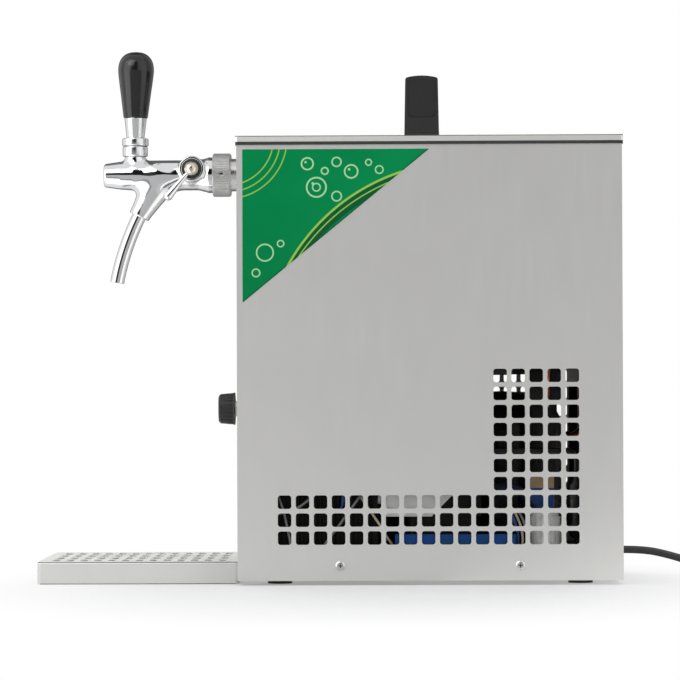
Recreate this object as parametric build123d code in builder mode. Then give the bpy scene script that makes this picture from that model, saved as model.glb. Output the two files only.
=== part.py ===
from build123d import *
from math import atan2, cos, pi, radians, sin, sqrt, tan
import os

# Flow-through beer cooler with a compensator tap. Millimetres, +Z up, the tap faces -X.
# The origin is on the floor, below the middle of the outline without the mains lead.

# Driving dimensions
casing_length = 343.0
casing_width = 230.0
casing_height = 400.0
sheet = 1.0
foot_height = 4.0
foot_radius = 11.0
foot_from_end = 36.5
foot_from_side = 38.0
lid_overhang = 1.0
lid_lip = 5.2
gasket_thickness = 2.8
flange_width = 10.0
base_flange = 25.0
vent_size = 12.0
vent_pitch = 16.0
vent_corner = 2.5
vent_front_margin = 42.0
vent_rear_margin = 44.0
vent_base_margin = 42.0
long_vent_rows = 3
tall_vent_rows = 10
tall_vent_columns = 5
screw_height = 17.3
screw_spacing = 160.0

tray_length = 180.7
tray_width = 180.0
tray_height = 18.5
grate_rise = 1.8
tray_gap = 0.3
rear_reach = 10.0

handle_width = 31.6
handle_crown_width = 29.5
handle_length = 120.0
handle_height = 56.0
handle_crown = 2.0
handle_post = 20.0
handle_bar = 22.0
handle_foot = 5.0
handle_from_rear = 177.5

tap_below_top = 28.0
tap_reach = 98.6
tap_swing = 20.0
knob_above_tap = 113.1
thermostat_height = 157.0
thermostat_from_side = 40.0
shelf_height = 187.0
cord_diameter = 7.0
cord_exit_height = 24.0

# Clearances
running = 0.05
loose = 0.3
screw_clearance = 0.15

# Places worked out from the dimensions
total_length = tray_length + tray_gap + casing_length + rear_reach
tray_front_x = -total_length / 2
tray_rear_x = tray_front_x + tray_length
front_x = tray_rear_x + tray_gap
rear_x = front_x + casing_length
casing_x = (front_x + rear_x) / 2
side_y = casing_width / 2
tap_height = casing_height - tap_below_top
knob_top = tap_height + knob_above_tap
inner_y = side_y - sheet
inner_front_x = front_x + sheet
inner_rear_x = rear_x - sheet
base_z = foot_height
floor_z = base_z + sheet
lip_z = casing_height - lid_lip
panel_top_z = lip_z - gasket_thickness
base_flange_z = base_z + base_flange
inner_length = inner_rear_x - inner_front_x
shelf_top_z = shelf_height + sheet

os.makedirs("parts", exist_ok=True)


def keep(piece, name):
    """Label one finished piece and write it."""
    piece.part.label = name
    export_step(piece.part, f"parts/{name}.step")


def across(along):
    """A direction square to one of the three axes."""
    return Vector(1, 0, 0) if abs(along[2]) > 0.5 else Vector(0, 0, 1)


def lathe_plane(origin, along):
    """Plane for a turned profile: local X is the radius, local Y runs along the axis."""
    radial = across(along)
    return Plane(origin=origin, x_dir=radial, z_dir=radial.cross(Vector(*along)))


def turned(profile, origin, along):
    """A solid of revolution from (radius, distance) points."""
    plane = lathe_plane(origin, along)
    with BuildPart() as piece:
        with BuildSketch(plane):
            with BuildLine():
                Polyline(*profile, close=True)
            make_face()
        revolve(axis=Axis(plane.origin, plane.y_dir))
    return piece


def tube(points, radii, radius, bore=0.0):
    """A round tube along straight runs joined by tangent arcs."""
    with BuildPart() as piece:
        with BuildLine() as route:
            FilletPolyline(*points, radius=radii)
        with BuildSketch(Plane(origin=route.line @ 0, z_dir=route.line % 0)):
            Circle(radius)
            if bore > 0:
                Circle(bore, mode=Mode.SUBTRACT)
        sweep()
    return piece


def pan_screw(origin, along, head_radius, head_height, shank_radius, length):
    """A pan-head cross-recess screw; origin is under the head, along points out of the head."""
    plane = lathe_plane(origin, along)
    flat = head_radius * 0.52
    recess = flat * 0.84
    with BuildPart() as piece:
        with BuildSketch(plane):
            with BuildLine():
                Line((0, -length), (shank_radius, -length))
                Line((shank_radius, -length), (shank_radius, 0))
                Line((shank_radius, 0), (head_radius, 0))
                Line((head_radius, 0), (head_radius, head_height * 0.4))
                ThreePointArc(
                    (head_radius, head_height * 0.4),
                    (head_radius * 0.84, head_height * 0.82),
                    (flat, head_height),
                )
                Line((flat, head_height), (0, head_height))
                Line((0, head_height), (0, -length))
            make_face()
        revolve(axis=Axis(plane.origin, plane.y_dir))
        with BuildSketch(Plane(origin=plane.origin + plane.y_dir * head_height, z_dir=plane.y_dir)):
            Rectangle(recess * 2, recess * 0.4)
            Rectangle(recess * 0.4, recess * 2)
        extrude(amount=-head_height * 0.6, mode=Mode.SUBTRACT)
    return piece


# Casing: base tray, screwed to the two side panels, welded to the front and rear panels
foot_places = [
    (x, y)
    for x in (front_x + foot_from_end, rear_x - foot_from_end)
    for y in (-side_y + foot_from_side, side_y - foot_from_side)
]
screw_head_radius = 4.5
screw_head_height = 2.3
screw_shank_radius = 2.0
screw_length = 9.0
cord_y = 40.0
bushing_radius = 8.0
side_screw_places = [casing_x - screw_spacing / 2, casing_x + screw_spacing / 2]

with BuildPart() as base_tray:
    with BuildSketch(Plane.XY.offset(base_z)):
        with Locations((casing_x, 0)):
            Rectangle(inner_length, 2 * inner_y)
        with Locations(*foot_places):
            Circle(screw_shank_radius + screw_clearance, mode=Mode.SUBTRACT)
    extrude(amount=sheet)
    with BuildSketch(Plane.XY.offset(floor_z)):
        with Locations((casing_x, 0)):
            Rectangle(inner_length, 2 * inner_y)
            Rectangle(inner_length - 2 * sheet, 2 * (inner_y - sheet), mode=Mode.SUBTRACT)
    extrude(amount=base_flange_z - floor_z)
    with BuildSketch(Plane.XZ.offset(-inner_y)):
        with Locations(*[(x, screw_height) for x in side_screw_places]):
            Circle(screw_shank_radius + screw_clearance)
    extrude(amount=2 * inner_y, mode=Mode.SUBTRACT)
    with BuildSketch(Plane.YZ.offset(inner_rear_x)):
        with Locations((cord_y, cord_exit_height)):
            Circle(bushing_radius)
    extrude(amount=-sheet, mode=Mode.SUBTRACT)
keep(base_tray, "base_tray")

foot_recess_radius = screw_head_radius + 0.4
foot_recess = 2.6
with BuildPart() as feet:
    with Locations(*[(x, y, 0) for x, y in foot_places]):
        Cylinder(foot_radius, foot_height, align=(Align.CENTER, Align.CENTER, Align.MIN))
        Cylinder(
            screw_shank_radius + screw_clearance,
            foot_height,
            align=(Align.CENTER, Align.CENTER, Align.MIN),
            mode=Mode.SUBTRACT,
        )
        Cylinder(
            foot_recess_radius,
            foot_recess,
            align=(Align.CENTER, Align.CENTER, Align.MIN),
            mode=Mode.SUBTRACT,
        )
keep(feet, "feet")

screw_sizes = (screw_head_radius, screw_head_height, screw_shank_radius, screw_length)
# Square vents: long low rows, and a taller block towards the rear
vent_columns = int((casing_length - vent_front_margin - vent_rear_margin) / vent_pitch) + 1
vent_last_x = front_x + vent_front_margin + (vent_columns - 1) * vent_pitch
long_vents = [
    (front_x + vent_front_margin + i * vent_pitch, vent_base_margin + k * vent_pitch)
    for i in range(vent_columns)
    for k in range(long_vent_rows)
]
tall_vents = [
    (vent_last_x - i * vent_pitch, vent_base_margin + k * vent_pitch)
    for i in range(tall_vent_columns)
    for k in range(long_vent_rows, tall_vent_rows)
]


def side_panel(side):
    outer_plane = Plane(origin=(0, side * side_y, 0), x_dir=(1, 0, 0), z_dir=(0, -1, 0))
    with BuildPart() as piece:
        with BuildSketch(outer_plane):
            with Locations((casing_x, (base_z + panel_top_z) / 2)):
                Rectangle(casing_length, panel_top_z - base_z)
            with Locations(*long_vents, *tall_vents):
                RectangleRounded(vent_size, vent_size, vent_corner, mode=Mode.SUBTRACT)
            with Locations(*[(x, screw_height) for x in side_screw_places]):
                Circle(screw_shank_radius + screw_clearance, mode=Mode.SUBTRACT)
        extrude(amount=side * sheet)
        with BuildSketch(Plane.XY.offset(panel_top_z - sheet)):
            with Locations((casing_x, side * (inner_y - flange_width / 2))):
                Rectangle(inner_length, flange_width)
        extrude(amount=sheet)
    return piece


right_side_panel = side_panel(-1)
keep(right_side_panel, "right_side_panel")
left_side_panel = side_panel(1)
keep(left_side_panel, "left_side_panel")

# Cooling block, held in foam on a shelf; a serpentine coil lies against each of its sides
shelf_length = 245.0
shelf_flange = 10.0
foam_wall = 22.0
foam_front = 14.0
foam_rear_step = 5.0
foam_beside = 12.0
foam_below_top = 54.0
foam_width = casing_width - 2 * foam_beside
foam_height = casing_height - foam_below_top - shelf_top_z
coil_radius = 4.0
coil_bend = 10.0
coil_first = 17.0
coil_y = foam_width / 2 - foam_wall - coil_radius
block_half = coil_y - coil_radius
coil_low_z = shelf_top_z + foam_wall + coil_first

# Places on the front and rear panels
shank_radius = 11.0
shank_hole_radius = shank_radius + loose
thermostat_y = -side_y + thermostat_from_side
bush_radius = 5.0
fitting_y = coil_y
beer_fitting_z = coil_low_z
air_fitting_z = 120.0
fitting_thread_radius = 7.0
switch_y = 45.0
switch_z = 215.0
switch_width = 19.0
switch_height = 25.0
rear_vent_columns = 7
rear_vent_rows = 6
rear_vent_y = -35.0
rear_vent_z = 110.0
return_width = 12.0
return_low_z = base_flange_z + sheet
return_high_z = panel_top_z - 2 * sheet


def end_panel(face_x, inward):
    """A flat end panel between the sides, with a top flange and two side returns."""
    middle = face_x + inward * (sheet + return_width / 2)
    with BuildPart() as piece:
        with BuildSketch(Plane.YZ.offset(face_x)):
            with Locations((0, (base_z + panel_top_z) / 2)):
                Rectangle(2 * inner_y, panel_top_z - base_z)
        extrude(amount=inward * sheet)
        with BuildSketch(Plane.XY.offset(panel_top_z - sheet)):
            with Locations((face_x + inward * (sheet + flange_width / 2), 0)):
                Rectangle(flange_width, 2 * (inner_y - flange_width))
        extrude(amount=sheet)
        with BuildSketch(Plane.XY.offset(return_low_z)):
            with Locations((middle, inner_y - sheet / 2), (middle, -inner_y + sheet / 2)):
                Rectangle(return_width, sheet)
        extrude(amount=return_high_z - return_low_z)
    return piece


front_blank = end_panel(front_x, 1)
with BuildPart() as front_panel:
    add(front_blank.part)
    with BuildSketch(Plane.YZ.offset(front_x)):
        with Locations((0, tap_height)):
            Circle(shank_hole_radius)
        with Locations((thermostat_y, thermostat_height)):
            Circle(bush_radius + screw_clearance)
    extrude(amount=sheet, mode=Mode.SUBTRACT)
keep(front_panel, "front_panel")

rear_blank = end_panel(rear_x, -1)
with BuildPart() as rear_panel:
    add(rear_blank.part)
    with BuildSketch(Plane.YZ.offset(rear_x)):
        with Locations((fitting_y, beer_fitting_z), (fitting_y, air_fitting_z)):
            Circle(fitting_thread_radius + screw_clearance)
        with Locations((switch_y, switch_z)):
            Rectangle(switch_width, switch_height)
        with Locations((cord_y, cord_exit_height)):
            Circle(bushing_radius)
        with Locations((rear_vent_y, rear_vent_z)):
            with GridLocations(vent_pitch, vent_pitch, rear_vent_columns, rear_vent_rows):
                RectangleRounded(vent_size, vent_size, vent_corner)
    extrude(amount=-sheet, mode=Mode.SUBTRACT)
keep(rear_panel, "rear_panel")

# Lid and its gasket
lid_length = casing_length + 2 * lid_overhang
lid_width = casing_width + 2 * lid_overhang
lid_corner = 2.0
handle_x = rear_x - handle_from_rear
handle_screw_y = handle_length / 2 - handle_post / 2
handle_screw_radius = 3.0

with BuildPart() as lid:
    with BuildSketch(Plane.XY.offset(lip_z)):
        with Locations((casing_x, 0)):
            RectangleRounded(lid_length, lid_width, lid_corner)
    extrude(amount=lid_lip)
    fillet(lid.faces().sort_by(Axis.Z)[-1].edges(), sheet * 0.8)
    with BuildSketch(Plane.XY.offset(lip_z)):
        with Locations((casing_x, 0)):
            RectangleRounded(lid_length - 2 * sheet, lid_width - 2 * sheet, lid_corner - sheet)
    extrude(amount=lid_lip - sheet, mode=Mode.SUBTRACT)
    with BuildSketch(Plane.XY.offset(casing_height)):
        with Locations((handle_x, -handle_screw_y), (handle_x, handle_screw_y)):
            Circle(handle_screw_radius + screw_clearance)
    extrude(amount=-sheet, mode=Mode.SUBTRACT)
keep(lid, "lid")

with BuildPart() as lid_gasket:
    with BuildSketch(Plane.XY.offset(panel_top_z)):
        with Locations((casing_x, 0)):
            RectangleRounded(lid_length, lid_width, lid_corner)
            Rectangle(
                inner_length - 2 * flange_width, 2 * (inner_y - flange_width), mode=Mode.SUBTRACT
            )
    extrude(amount=gasket_thickness)
keep(lid_gasket, "lid_gasket")

# Brace that takes the handle's load to the side panels' flanges
brace_width = 30.0
brace_thickness = 3.0
brace_half_span = inner_y - flange_width - sheet
brace_seat_z = panel_top_z - sheet
brace_top_z = casing_height - sheet
with BuildPart() as lid_brace:
    with BuildSketch(Plane.YZ.offset(handle_x - brace_width / 2)):
        with BuildLine():
            half = [
                (0, brace_top_z),
                (brace_half_span, brace_top_z),
                (brace_half_span, brace_seat_z),
                (inner_y - 2 * sheet, brace_seat_z),
                (inner_y - 2 * sheet, brace_seat_z - brace_thickness),
                (brace_half_span - brace_thickness, brace_seat_z - brace_thickness),
                (brace_half_span - brace_thickness, brace_top_z - brace_thickness),
                (0, brace_top_z - brace_thickness),
            ]
            Polyline(*half, close=True)
        make_face()
        mirror(about=Plane.YZ)
    extrude(amount=brace_width)
    with BuildSketch(Plane.XY.offset(casing_height)):
        with Locations((handle_x, -handle_screw_y), (handle_x, handle_screw_y)):
            Circle(handle_screw_radius + screw_clearance)
    extrude(amount=-casing_height / 10, mode=Mode.SUBTRACT)
keep(lid_brace, "lid_brace")

# Carrying handle: a bridge across the lid, with a cap let into each end
handle_top_z = casing_height + handle_height
cap_width = 22.9
cap_height = 32.5
cap_below_top = 2.2
cap_depth = 2.0
cap_proud = 0.6
cap_corner = 2.5
screw_in_handle = 14.0
handle_screw_head = 5.0
handle_screw_head_height = 3.2

with BuildPart() as carry_handle:
    with BuildSketch(Plane.XZ.offset(-handle_length / 2)):
        with BuildLine():
            Polyline(
                (handle_x - handle_crown_width / 2, handle_top_z),
                (handle_x - handle_width / 2, casing_height),
                (handle_x + handle_width / 2, casing_height),
                (handle_x + handle_crown_width / 2, handle_top_z),
            )
            ThreePointArc(
                (handle_x + handle_crown_width / 2, handle_top_z),
                (handle_x, handle_top_z + handle_crown),
                (handle_x - handle_crown_width / 2, handle_top_z),
            )
        make_face()
    extrude(amount=handle_length)
    fillet(carry_handle.edges().filter_by(Axis.Y).group_by(Axis.Z)[-1], 2.5)
    with BuildSketch(Plane.YZ.offset(handle_x - handle_width)):
        with Locations((0, casing_height + handle_foot + (handle_height - handle_bar - handle_foot) / 2)):
            RectangleRounded(
                handle_length - 2 * handle_post, handle_height - handle_bar - handle_foot, 9.0
            )
    extrude(amount=2 * handle_width, mode=Mode.SUBTRACT)
    for side in (-1, 1):
        cap_plane = Plane(origin=(handle_x, side * handle_length / 2, 0), x_dir=(1, 0, 0), z_dir=(0, -1, 0))
        with BuildSketch(cap_plane):
            with Locations((0, handle_top_z - cap_below_top - cap_height / 2)):
                RectangleRounded(cap_width, cap_height, cap_corner)
        extrude(amount=side * cap_depth, mode=Mode.SUBTRACT)
    with BuildSketch(Plane.XY.offset(casing_height)):
        with Locations((handle_x, -handle_screw_y), (handle_x, handle_screw_y)):
            Circle(handle_screw_radius + running)
    extrude(amount=screw_in_handle, mode=Mode.SUBTRACT)
keep(carry_handle, "carry_handle")

with BuildPart() as handle_end_caps:
    for side in (-1, 1):
        cap_plane = Plane(
            origin=(handle_x, side * (handle_length / 2 - cap_depth), 0), x_dir=(1, 0, 0), z_dir=(0, -1, 0)
        )
        with BuildSketch(cap_plane):
            with Locations((0, handle_top_z - cap_below_top - cap_height / 2)):
                RectangleRounded(cap_width - 2 * running, cap_height - 2 * running, cap_corner)
        extrude(amount=-side * (cap_depth + cap_proud))
keep(handle_end_caps, "handle_end_caps")

# Screws: side panels to base tray, feet to base tray, brace and lid to handle
casing_screw_set = [
    pan_screw((x, side * side_y, screw_height), (0, side, 0), *screw_sizes)
    for x in side_screw_places
    for side in (-1, 1)
]
foot_screw_set = [pan_screw((x, y, foot_recess), (0, 0, -1), *screw_sizes) for x, y in foot_places]
handle_screw_set = [
    pan_screw(
        (handle_x, side * handle_screw_y, brace_top_z - brace_thickness), (0, 0, -1),
        handle_screw_head, handle_screw_head_height, handle_screw_radius,
        brace_thickness + sheet + screw_in_handle - 1.0,
    )
    for side in (-1, 1)
]
with BuildPart() as screws:
    add([screw.part for screw in casing_screw_set + foot_screw_set + handle_screw_set])
keep(screws, "screws")

# Tap. Distances named reach are measured forward from the front panel along the tap's axis.
tap_bore = 8.0
barrel_radius = 14.0
barrel_start = 27.0
barrel_end = 111.0
nose_end = 127.6
nose_radius = 10.6
shank_flange_radius = 17.0
shank_flange_end = 2.5
shank_collar_radius = 15.0
shank_collar_end = 10.0
shank_thread_radius = 13.0
shank_face = 17.0
shank_inside = 24.0
nut_radius = 20.0
nut_end = 26.8
tail_flange_end = 20.0
tail_radius = 11.0
cone_radius = 16.5
cone_flat = 4.0
cone_end = 40.0
shank_bore = 5.0
throat_front = 70.0
throat_rear = 66.0
throat_radius = 5.5
bore_end = 120.0


def reach_x(reach):
    return front_x - reach


def along_tap(profile):
    """Turn (radius, reach) points about the tap's axis."""
    return turned(profile, (front_x, 0, tap_height), (-1, 0, 0))


tap_shank = along_tap([
    (shank_bore, -shank_inside - sheet),
    (shank_radius, -shank_inside - sheet),
    (shank_radius, 0),
    (shank_flange_radius, 0),
    (shank_flange_radius, shank_flange_end),
    (shank_collar_radius, shank_flange_end),
    (shank_collar_radius, shank_collar_end),
    (shank_thread_radius, shank_collar_end),
    (shank_thread_radius, shank_face),
    (shank_bore, shank_face),
])
keep(tap_shank, "tap_shank")

lock_nut_thickness = 8.0
lock_nut_radius = 17.0
with BuildPart() as shank_lock_nut:
    with BuildSketch(Plane.YZ.offset(inner_front_x)):
        with Locations((0, tap_height)):
            RegularPolygon(lock_nut_radius, 6)
            Circle(shank_radius + running, mode=Mode.SUBTRACT)
    extrude(amount=lock_nut_thickness)
    chamfer(shank_lock_nut.edges().filter_by(GeomType.LINE).group_by(Axis.X)[-1], 0.8)
keep(shank_lock_nut, "shank_lock_nut")

nut_grooves = 72
nut_groove = 0.5
nut_edge = 1.2
nut_spanner_radius = 2.0
nut_blank = along_tap([
    (shank_thread_radius + running, shank_collar_end),
    (nut_radius - nut_edge, shank_collar_end),
    (nut_radius, shank_collar_end + nut_edge),
    (nut_radius, nut_end - nut_edge),
    (nut_radius - nut_edge, nut_end),
    (tail_radius + running, nut_end),
    (tail_radius + running, tail_flange_end + running),
    (shank_thread_radius + running, tail_flange_end + running),
])
with BuildPart() as union_nut:
    add(nut_blank.part)
    with BuildSketch(Plane.YZ.offset(reach_x(nut_end - nut_edge))):
        with Locations((0, tap_height)):
            with PolarLocations(nut_radius, nut_grooves):
                Circle(nut_groove)
    extrude(amount=nut_end - shank_collar_end - 2 * nut_edge, mode=Mode.SUBTRACT)
    with BuildSketch(Plane.XZ.offset(0)):
        with Locations((reach_x((shank_collar_end + nut_end) / 2), tap_height)):
            Circle(nut_spanner_radius)
    extrude(amount=nut_radius + 1, mode=Mode.SUBTRACT)
keep(union_nut, "union_nut")

# Spout: a tube bent by an arc, let into a flared neck below the barrel
spout_reach = 95.2
spout_top_z = tap_height - 38.0
spout_angle = 26.3
spout_turn = 15.5
spout_bend = 238.4
spout_radius = 6.5
spout_bore = 5.3
spout_socket = 12.0
neck_radius = 9.7
neck_flare = 17.0
neck_down = (-sin(radians(spout_angle)), -cos(radians(spout_angle)))
neck_length = (tap_height - spout_top_z) / cos(radians(spout_angle))
neck_root_x = reach_x(spout_reach) - neck_down[0] * neck_length
neck_axis = Axis((neck_root_x, 0, tap_height), (neck_down[0], 0, neck_down[1]))
neck_plane = Plane(
    origin=(neck_root_x, 0, tap_height),
    x_dir=(neck_down[1], 0, -neck_down[0]),
    z_dir=(0, -1, 0),
)

# Places of the handle's ball joint and of the compensator on the barrel
pivot_z = tap_height + 14.0
ball_radius = 7.0
ball_pocket = ball_radius + loose
pocket_floor_z = pivot_z - ball_radius - 1.0
trunnion_radius = 1.5
trunnion_end = 8.6
trunnion_slot = trunnion_radius + running
neck_top_z = tap_height + 17.4
handle_neck_radius = 9.4
handle_neck_flare = 12.0
handle_flare_z = tap_height + 12.7
handle_x_line = reach_x(tap_reach)
compensator_reach = 45.6
compensator_x = reach_x(compensator_reach)
compensator_z = tap_height + 5.0
boss_radius = 11.9
boss_face_y = -18.0
seal_radius = 10.0
seal_depth = 1.6
axle_radius = 3.0
axle_end_y = -8.6
pin_radius = 1.2
pin_offset = 1.7
pin_end_y = -6.0

barrel = along_tap([
    (0, shank_face),
    (shank_thread_radius - running, shank_face),
    (shank_thread_radius - running, tail_flange_end),
    (tail_radius, tail_flange_end),
    (tail_radius, barrel_start),
    (cone_radius, barrel_start),
    (cone_radius, barrel_start + cone_flat),
    (barrel_radius, cone_end),
    (barrel_radius, barrel_end),
    (nose_radius, nose_end - 1.0),
    (nose_radius - 1.0, nose_end),
    (0, nose_end),
])
barrel_bore = along_tap([
    (0, shank_face - 1),
    (tap_bore, shank_face - 1),
    (tap_bore, throat_rear),
    (throat_radius, throat_rear),
    (throat_radius, throat_front),
    (tap_bore, throat_front),
    (tap_bore, bore_end),
    (0, bore_end),
])

with BuildPart() as tap_body:
    add(barrel.part)
    # flared neck of the spout
    with BuildSketch(neck_plane):
        with BuildLine():
            Line((0, 0), (neck_flare, 0))
            Line((neck_flare, 0), (neck_flare, neck_length * 0.33))
            ThreePointArc(
                (neck_flare, neck_length * 0.33),
                (neck_radius + 1.5, neck_length * 0.6),
                (neck_radius, neck_length),
            )
            Line((neck_radius, neck_length), (0, neck_length))
            Line((0, neck_length), (0, 0))
        make_face()
    revolve(axis=neck_axis)
    # neck of the handle, with a flare where it leaves the barrel
    with Locations((handle_x_line, 0, tap_height)):
        Cylinder(
            handle_neck_radius, neck_top_z - tap_height, align=(Align.CENTER, Align.CENTER, Align.MIN)
        )
    with Locations((handle_x_line, 0, tap_height)):
        Cone(
            handle_neck_flare + 2.0, handle_neck_radius, handle_flare_z + 3.5 - tap_height,
            align=(Align.CENTER, Align.CENTER, Align.MIN),
        )
    # boss of the compensator on the near side
    with BuildSketch(Plane.XZ):
        with Locations((compensator_x, compensator_z)):
            Circle(boss_radius)
    extrude(amount=-boss_face_y)
    # bores: rear chamber, throat, front bore, ball pocket, spout way and socket
    add(barrel_bore.part, mode=Mode.SUBTRACT)
    with Locations((handle_x_line, 0, pocket_floor_z)):
        Cylinder(
            ball_pocket, neck_top_z - pocket_floor_z, align=(Align.CENTER, Align.CENTER, Align.MIN),
            mode=Mode.SUBTRACT,
        )
    with BuildSketch(Plane.XZ.offset(-trunnion_end - loose)):
        with BuildLine():
            Line((handle_x_line - trunnion_slot, neck_top_z), (handle_x_line - trunnion_slot, pivot_z))
            ThreePointArc(
                (handle_x_line - trunnion_slot, pivot_z),
                (handle_x_line, pivot_z - trunnion_slot),
                (handle_x_line + trunnion_slot, pivot_z),
            )
            Line((handle_x_line + trunnion_slot, pivot_z), (handle_x_line + trunnion_slot, neck_top_z))
            Line((handle_x_line + trunnion_slot, neck_top_z), (handle_x_line - trunnion_slot, neck_top_z))
        make_face()
    extrude(amount=2 * (trunnion_end + loose), mode=Mode.SUBTRACT)
    with BuildSketch(Plane(origin=(neck_root_x, 0, tap_height), z_dir=(neck_down[0], 0, neck_down[1]))):
        Circle(spout_bore)
    extrude(amount=neck_length + 1, mode=Mode.SUBTRACT)
    with BuildSketch(
        Plane(
            origin=(
                neck_root_x + neck_down[0] * (neck_length - spout_socket),
                0,
                tap_height + neck_down[1] * (neck_length - spout_socket),
            ),
            z_dir=(neck_down[0], 0, neck_down[1]),
        )
    ):
        Circle(spout_radius + running)
    extrude(amount=spout_socket + 1, mode=Mode.SUBTRACT)
    with BuildSketch(Plane.XZ):
        with Locations((compensator_x, compensator_z)):
            Circle(axle_radius + running)
    extrude(amount=-boss_face_y + 1, mode=Mode.SUBTRACT)
    with BuildSketch(Plane.XZ.offset(-boss_face_y)):
        with Locations((compensator_x, compensator_z)):
            Circle(seal_radius)
    extrude(amount=-seal_depth, mode=Mode.SUBTRACT)
    with BuildSketch(Plane.XZ):
        with Locations((compensator_x, compensator_z)):
            Circle(pin_offset + pin_radius + loose)
    extrude(amount=-axle_end_y, mode=Mode.SUBTRACT)
keep(tap_body, "tap_body")

with BuildPart() as spout_tube:
    with BuildLine(Plane.XZ) as spout_route:
        top = (
            neck_root_x + neck_down[0] * (neck_length - spout_socket),
            tap_height + neck_down[1] * (neck_length - spout_socket),
        )
        mouth = (reach_x(spout_reach), spout_top_z)
        Line(top, mouth)
        JernArc(start=mouth, tangent=neck_down, radius=spout_bend, arc_size=spout_turn)
    with BuildSketch(Plane(origin=spout_route.line @ 0, z_dir=spout_route.line % 0)):
        Circle(spout_radius)
        Circle(spout_bore, mode=Mode.SUBTRACT)
    sweep()
keep(spout_tube, "spout_tube")

# Valve piston: a slotted guide in the front bore, a rod through the throat and a disc behind it
guide_behind = 11.5
guide_ahead = 14.5
guide_window = 10.5
guide_bridge = 7.0
disc_radius = 7.2
disc_rear = 61.0
seal_thickness = 1.0
rod_radius = 3.0
finger_radius = 2.0
finger_ball = 2.5
slot_half = finger_ball + 0.4
slot_top_z = tap_height + 2.0
slot_floor_z = tap_height - finger_ball - 0.8
ring_groove = 2.0
ring_inner = tap_bore - 1.2
guide_rear = tap_reach - guide_behind
guide_front = tap_reach + guide_ahead
groove_reaches = (guide_rear + 1.5, guide_front - 1.5 - ring_groove)

seal_face = throat_rear - running
seal_back = seal_face - seal_thickness
piston_blank = along_tap([
    (0, disc_rear),
    (disc_radius, disc_rear),
    (disc_radius, seal_back),
    (rod_radius, seal_back),
    (rod_radius, guide_rear),
    (tap_bore - 2 * running, guide_rear),
    (tap_bore - 2 * running, guide_front),
    (0, guide_front),
])


def seal_ring(outer, reach):
    return along_tap([
        (ring_inner, reach),
        (outer, reach),
        (outer, reach + ring_groove),
        (ring_inner, reach + ring_groove),
    ])


groove_cuts = [seal_ring(tap_bore, reach) for reach in groove_reaches]
guide_rings = [seal_ring(tap_bore - running, reach) for reach in groove_reaches]
seat_seal = along_tap([
    (rod_radius, seal_back), (disc_radius, seal_back), (disc_radius, seal_face), (rod_radius, seal_face),
])

with BuildPart() as valve_piston:
    add(piston_blank.part)
    with Locations((handle_x_line, 0, slot_floor_z)):
        Box(
            2 * slot_half, 2 * slot_half, tap_bore * 2, align=(Align.CENTER, Align.CENTER, Align.MIN),
            mode=Mode.SUBTRACT,
        )
    with Locations((handle_x_line + (guide_bridge - guide_window) / 2, 0, slot_top_z)):
        Box(
            guide_window + guide_bridge, 2 * tap_bore, tap_bore * 2,
            align=(Align.CENTER, Align.CENTER, Align.MIN), mode=Mode.SUBTRACT,
        )
    add([cut.part for cut in groove_cuts], mode=Mode.SUBTRACT)
keep(valve_piston, "valve_piston")

with BuildPart() as piston_seals:
    add([ring.part for ring in guide_rings])
    add(seat_seal.part)
keep(piston_seals, "piston_seals")

# Ball lever, its collar, and the handle on it. Profiles are (radius, height above the pivot).
stem_radius = 3.0
stem_top = 28.0
collar_radius = 11.65
dome_radius = 17.2
skirt_radius = dome_radius + loose
ring_radius = 12.15
ring_top = 20.4
ferrule_low = 21.3
ferrule_high = 38.9
ferrule_low_radius = 8.1
ferrule_high_radius = 10.25
ferrule_seat = 6.0
knob_base_radius = 11.2
knob_wide_radius = 16.45
knob_crown = knob_top - pivot_z
knob_wide = knob_crown - knob_wide_radius
stud_radius = 4.0
stud_top = 55.0
pivot = (handle_x_line, 0, pivot_z)
collar_low = neck_top_z - pivot_z
collar_lip = 5.0
swing = radians(tap_swing)


def funnel(height):
    """Radius that the tilting stem needs at a height above the pivot."""
    return height * tan(swing) + stem_radius / cos(swing) + 2 * loose


funnel_top = sqrt(dome_radius**2 - funnel(dome_radius * 0.8) ** 2)
dome_edge = sqrt(dome_radius**2 - collar_radius**2)
dome_middle_angle = (atan2(funnel_top, funnel(dome_radius * 0.8)) + atan2(dome_edge, collar_radius)) / 2
lip_radius = funnel(collar_lip)
collar_plane = lathe_plane(pivot, (0, 0, 1))

with BuildPart() as tap_collar:
    with BuildSketch(collar_plane):
        with BuildLine():
            Polyline(
                (funnel(dome_radius * 0.8), funnel_top),
                (lip_radius, collar_lip),
                (lip_radius, sqrt(ball_pocket**2 - lip_radius**2)),
                (ball_pocket, collar_low),
                (collar_radius, collar_low),
                (collar_radius, dome_edge),
            )
            ThreePointArc(
                (collar_radius, dome_edge),
                (dome_radius * cos(dome_middle_angle), dome_radius * sin(dome_middle_angle)),
                (funnel(dome_radius * 0.8), funnel_top),
            )
        make_face()
    revolve(axis=Axis(pivot, (0, 0, 1)))
keep(tap_collar, "tap_collar")

with BuildPart() as tap_lever:
    with Locations(pivot):
        Sphere(ball_radius)
        Cylinder(stem_radius, stem_top, align=(Align.CENTER, Align.CENTER, Align.MIN))
    with Locations((handle_x_line, 0, tap_height)):
        Cylinder(finger_radius, pivot_z - tap_height, align=(Align.CENTER, Align.CENTER, Align.MIN))
        Sphere(finger_ball)
    with BuildSketch(Plane.XZ.offset(-trunnion_end)):
        with Locations((handle_x_line, pivot_z)):
            Circle(trunnion_radius)
    extrude(amount=2 * trunnion_end)
keep(tap_lever, "tap_lever")

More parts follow.
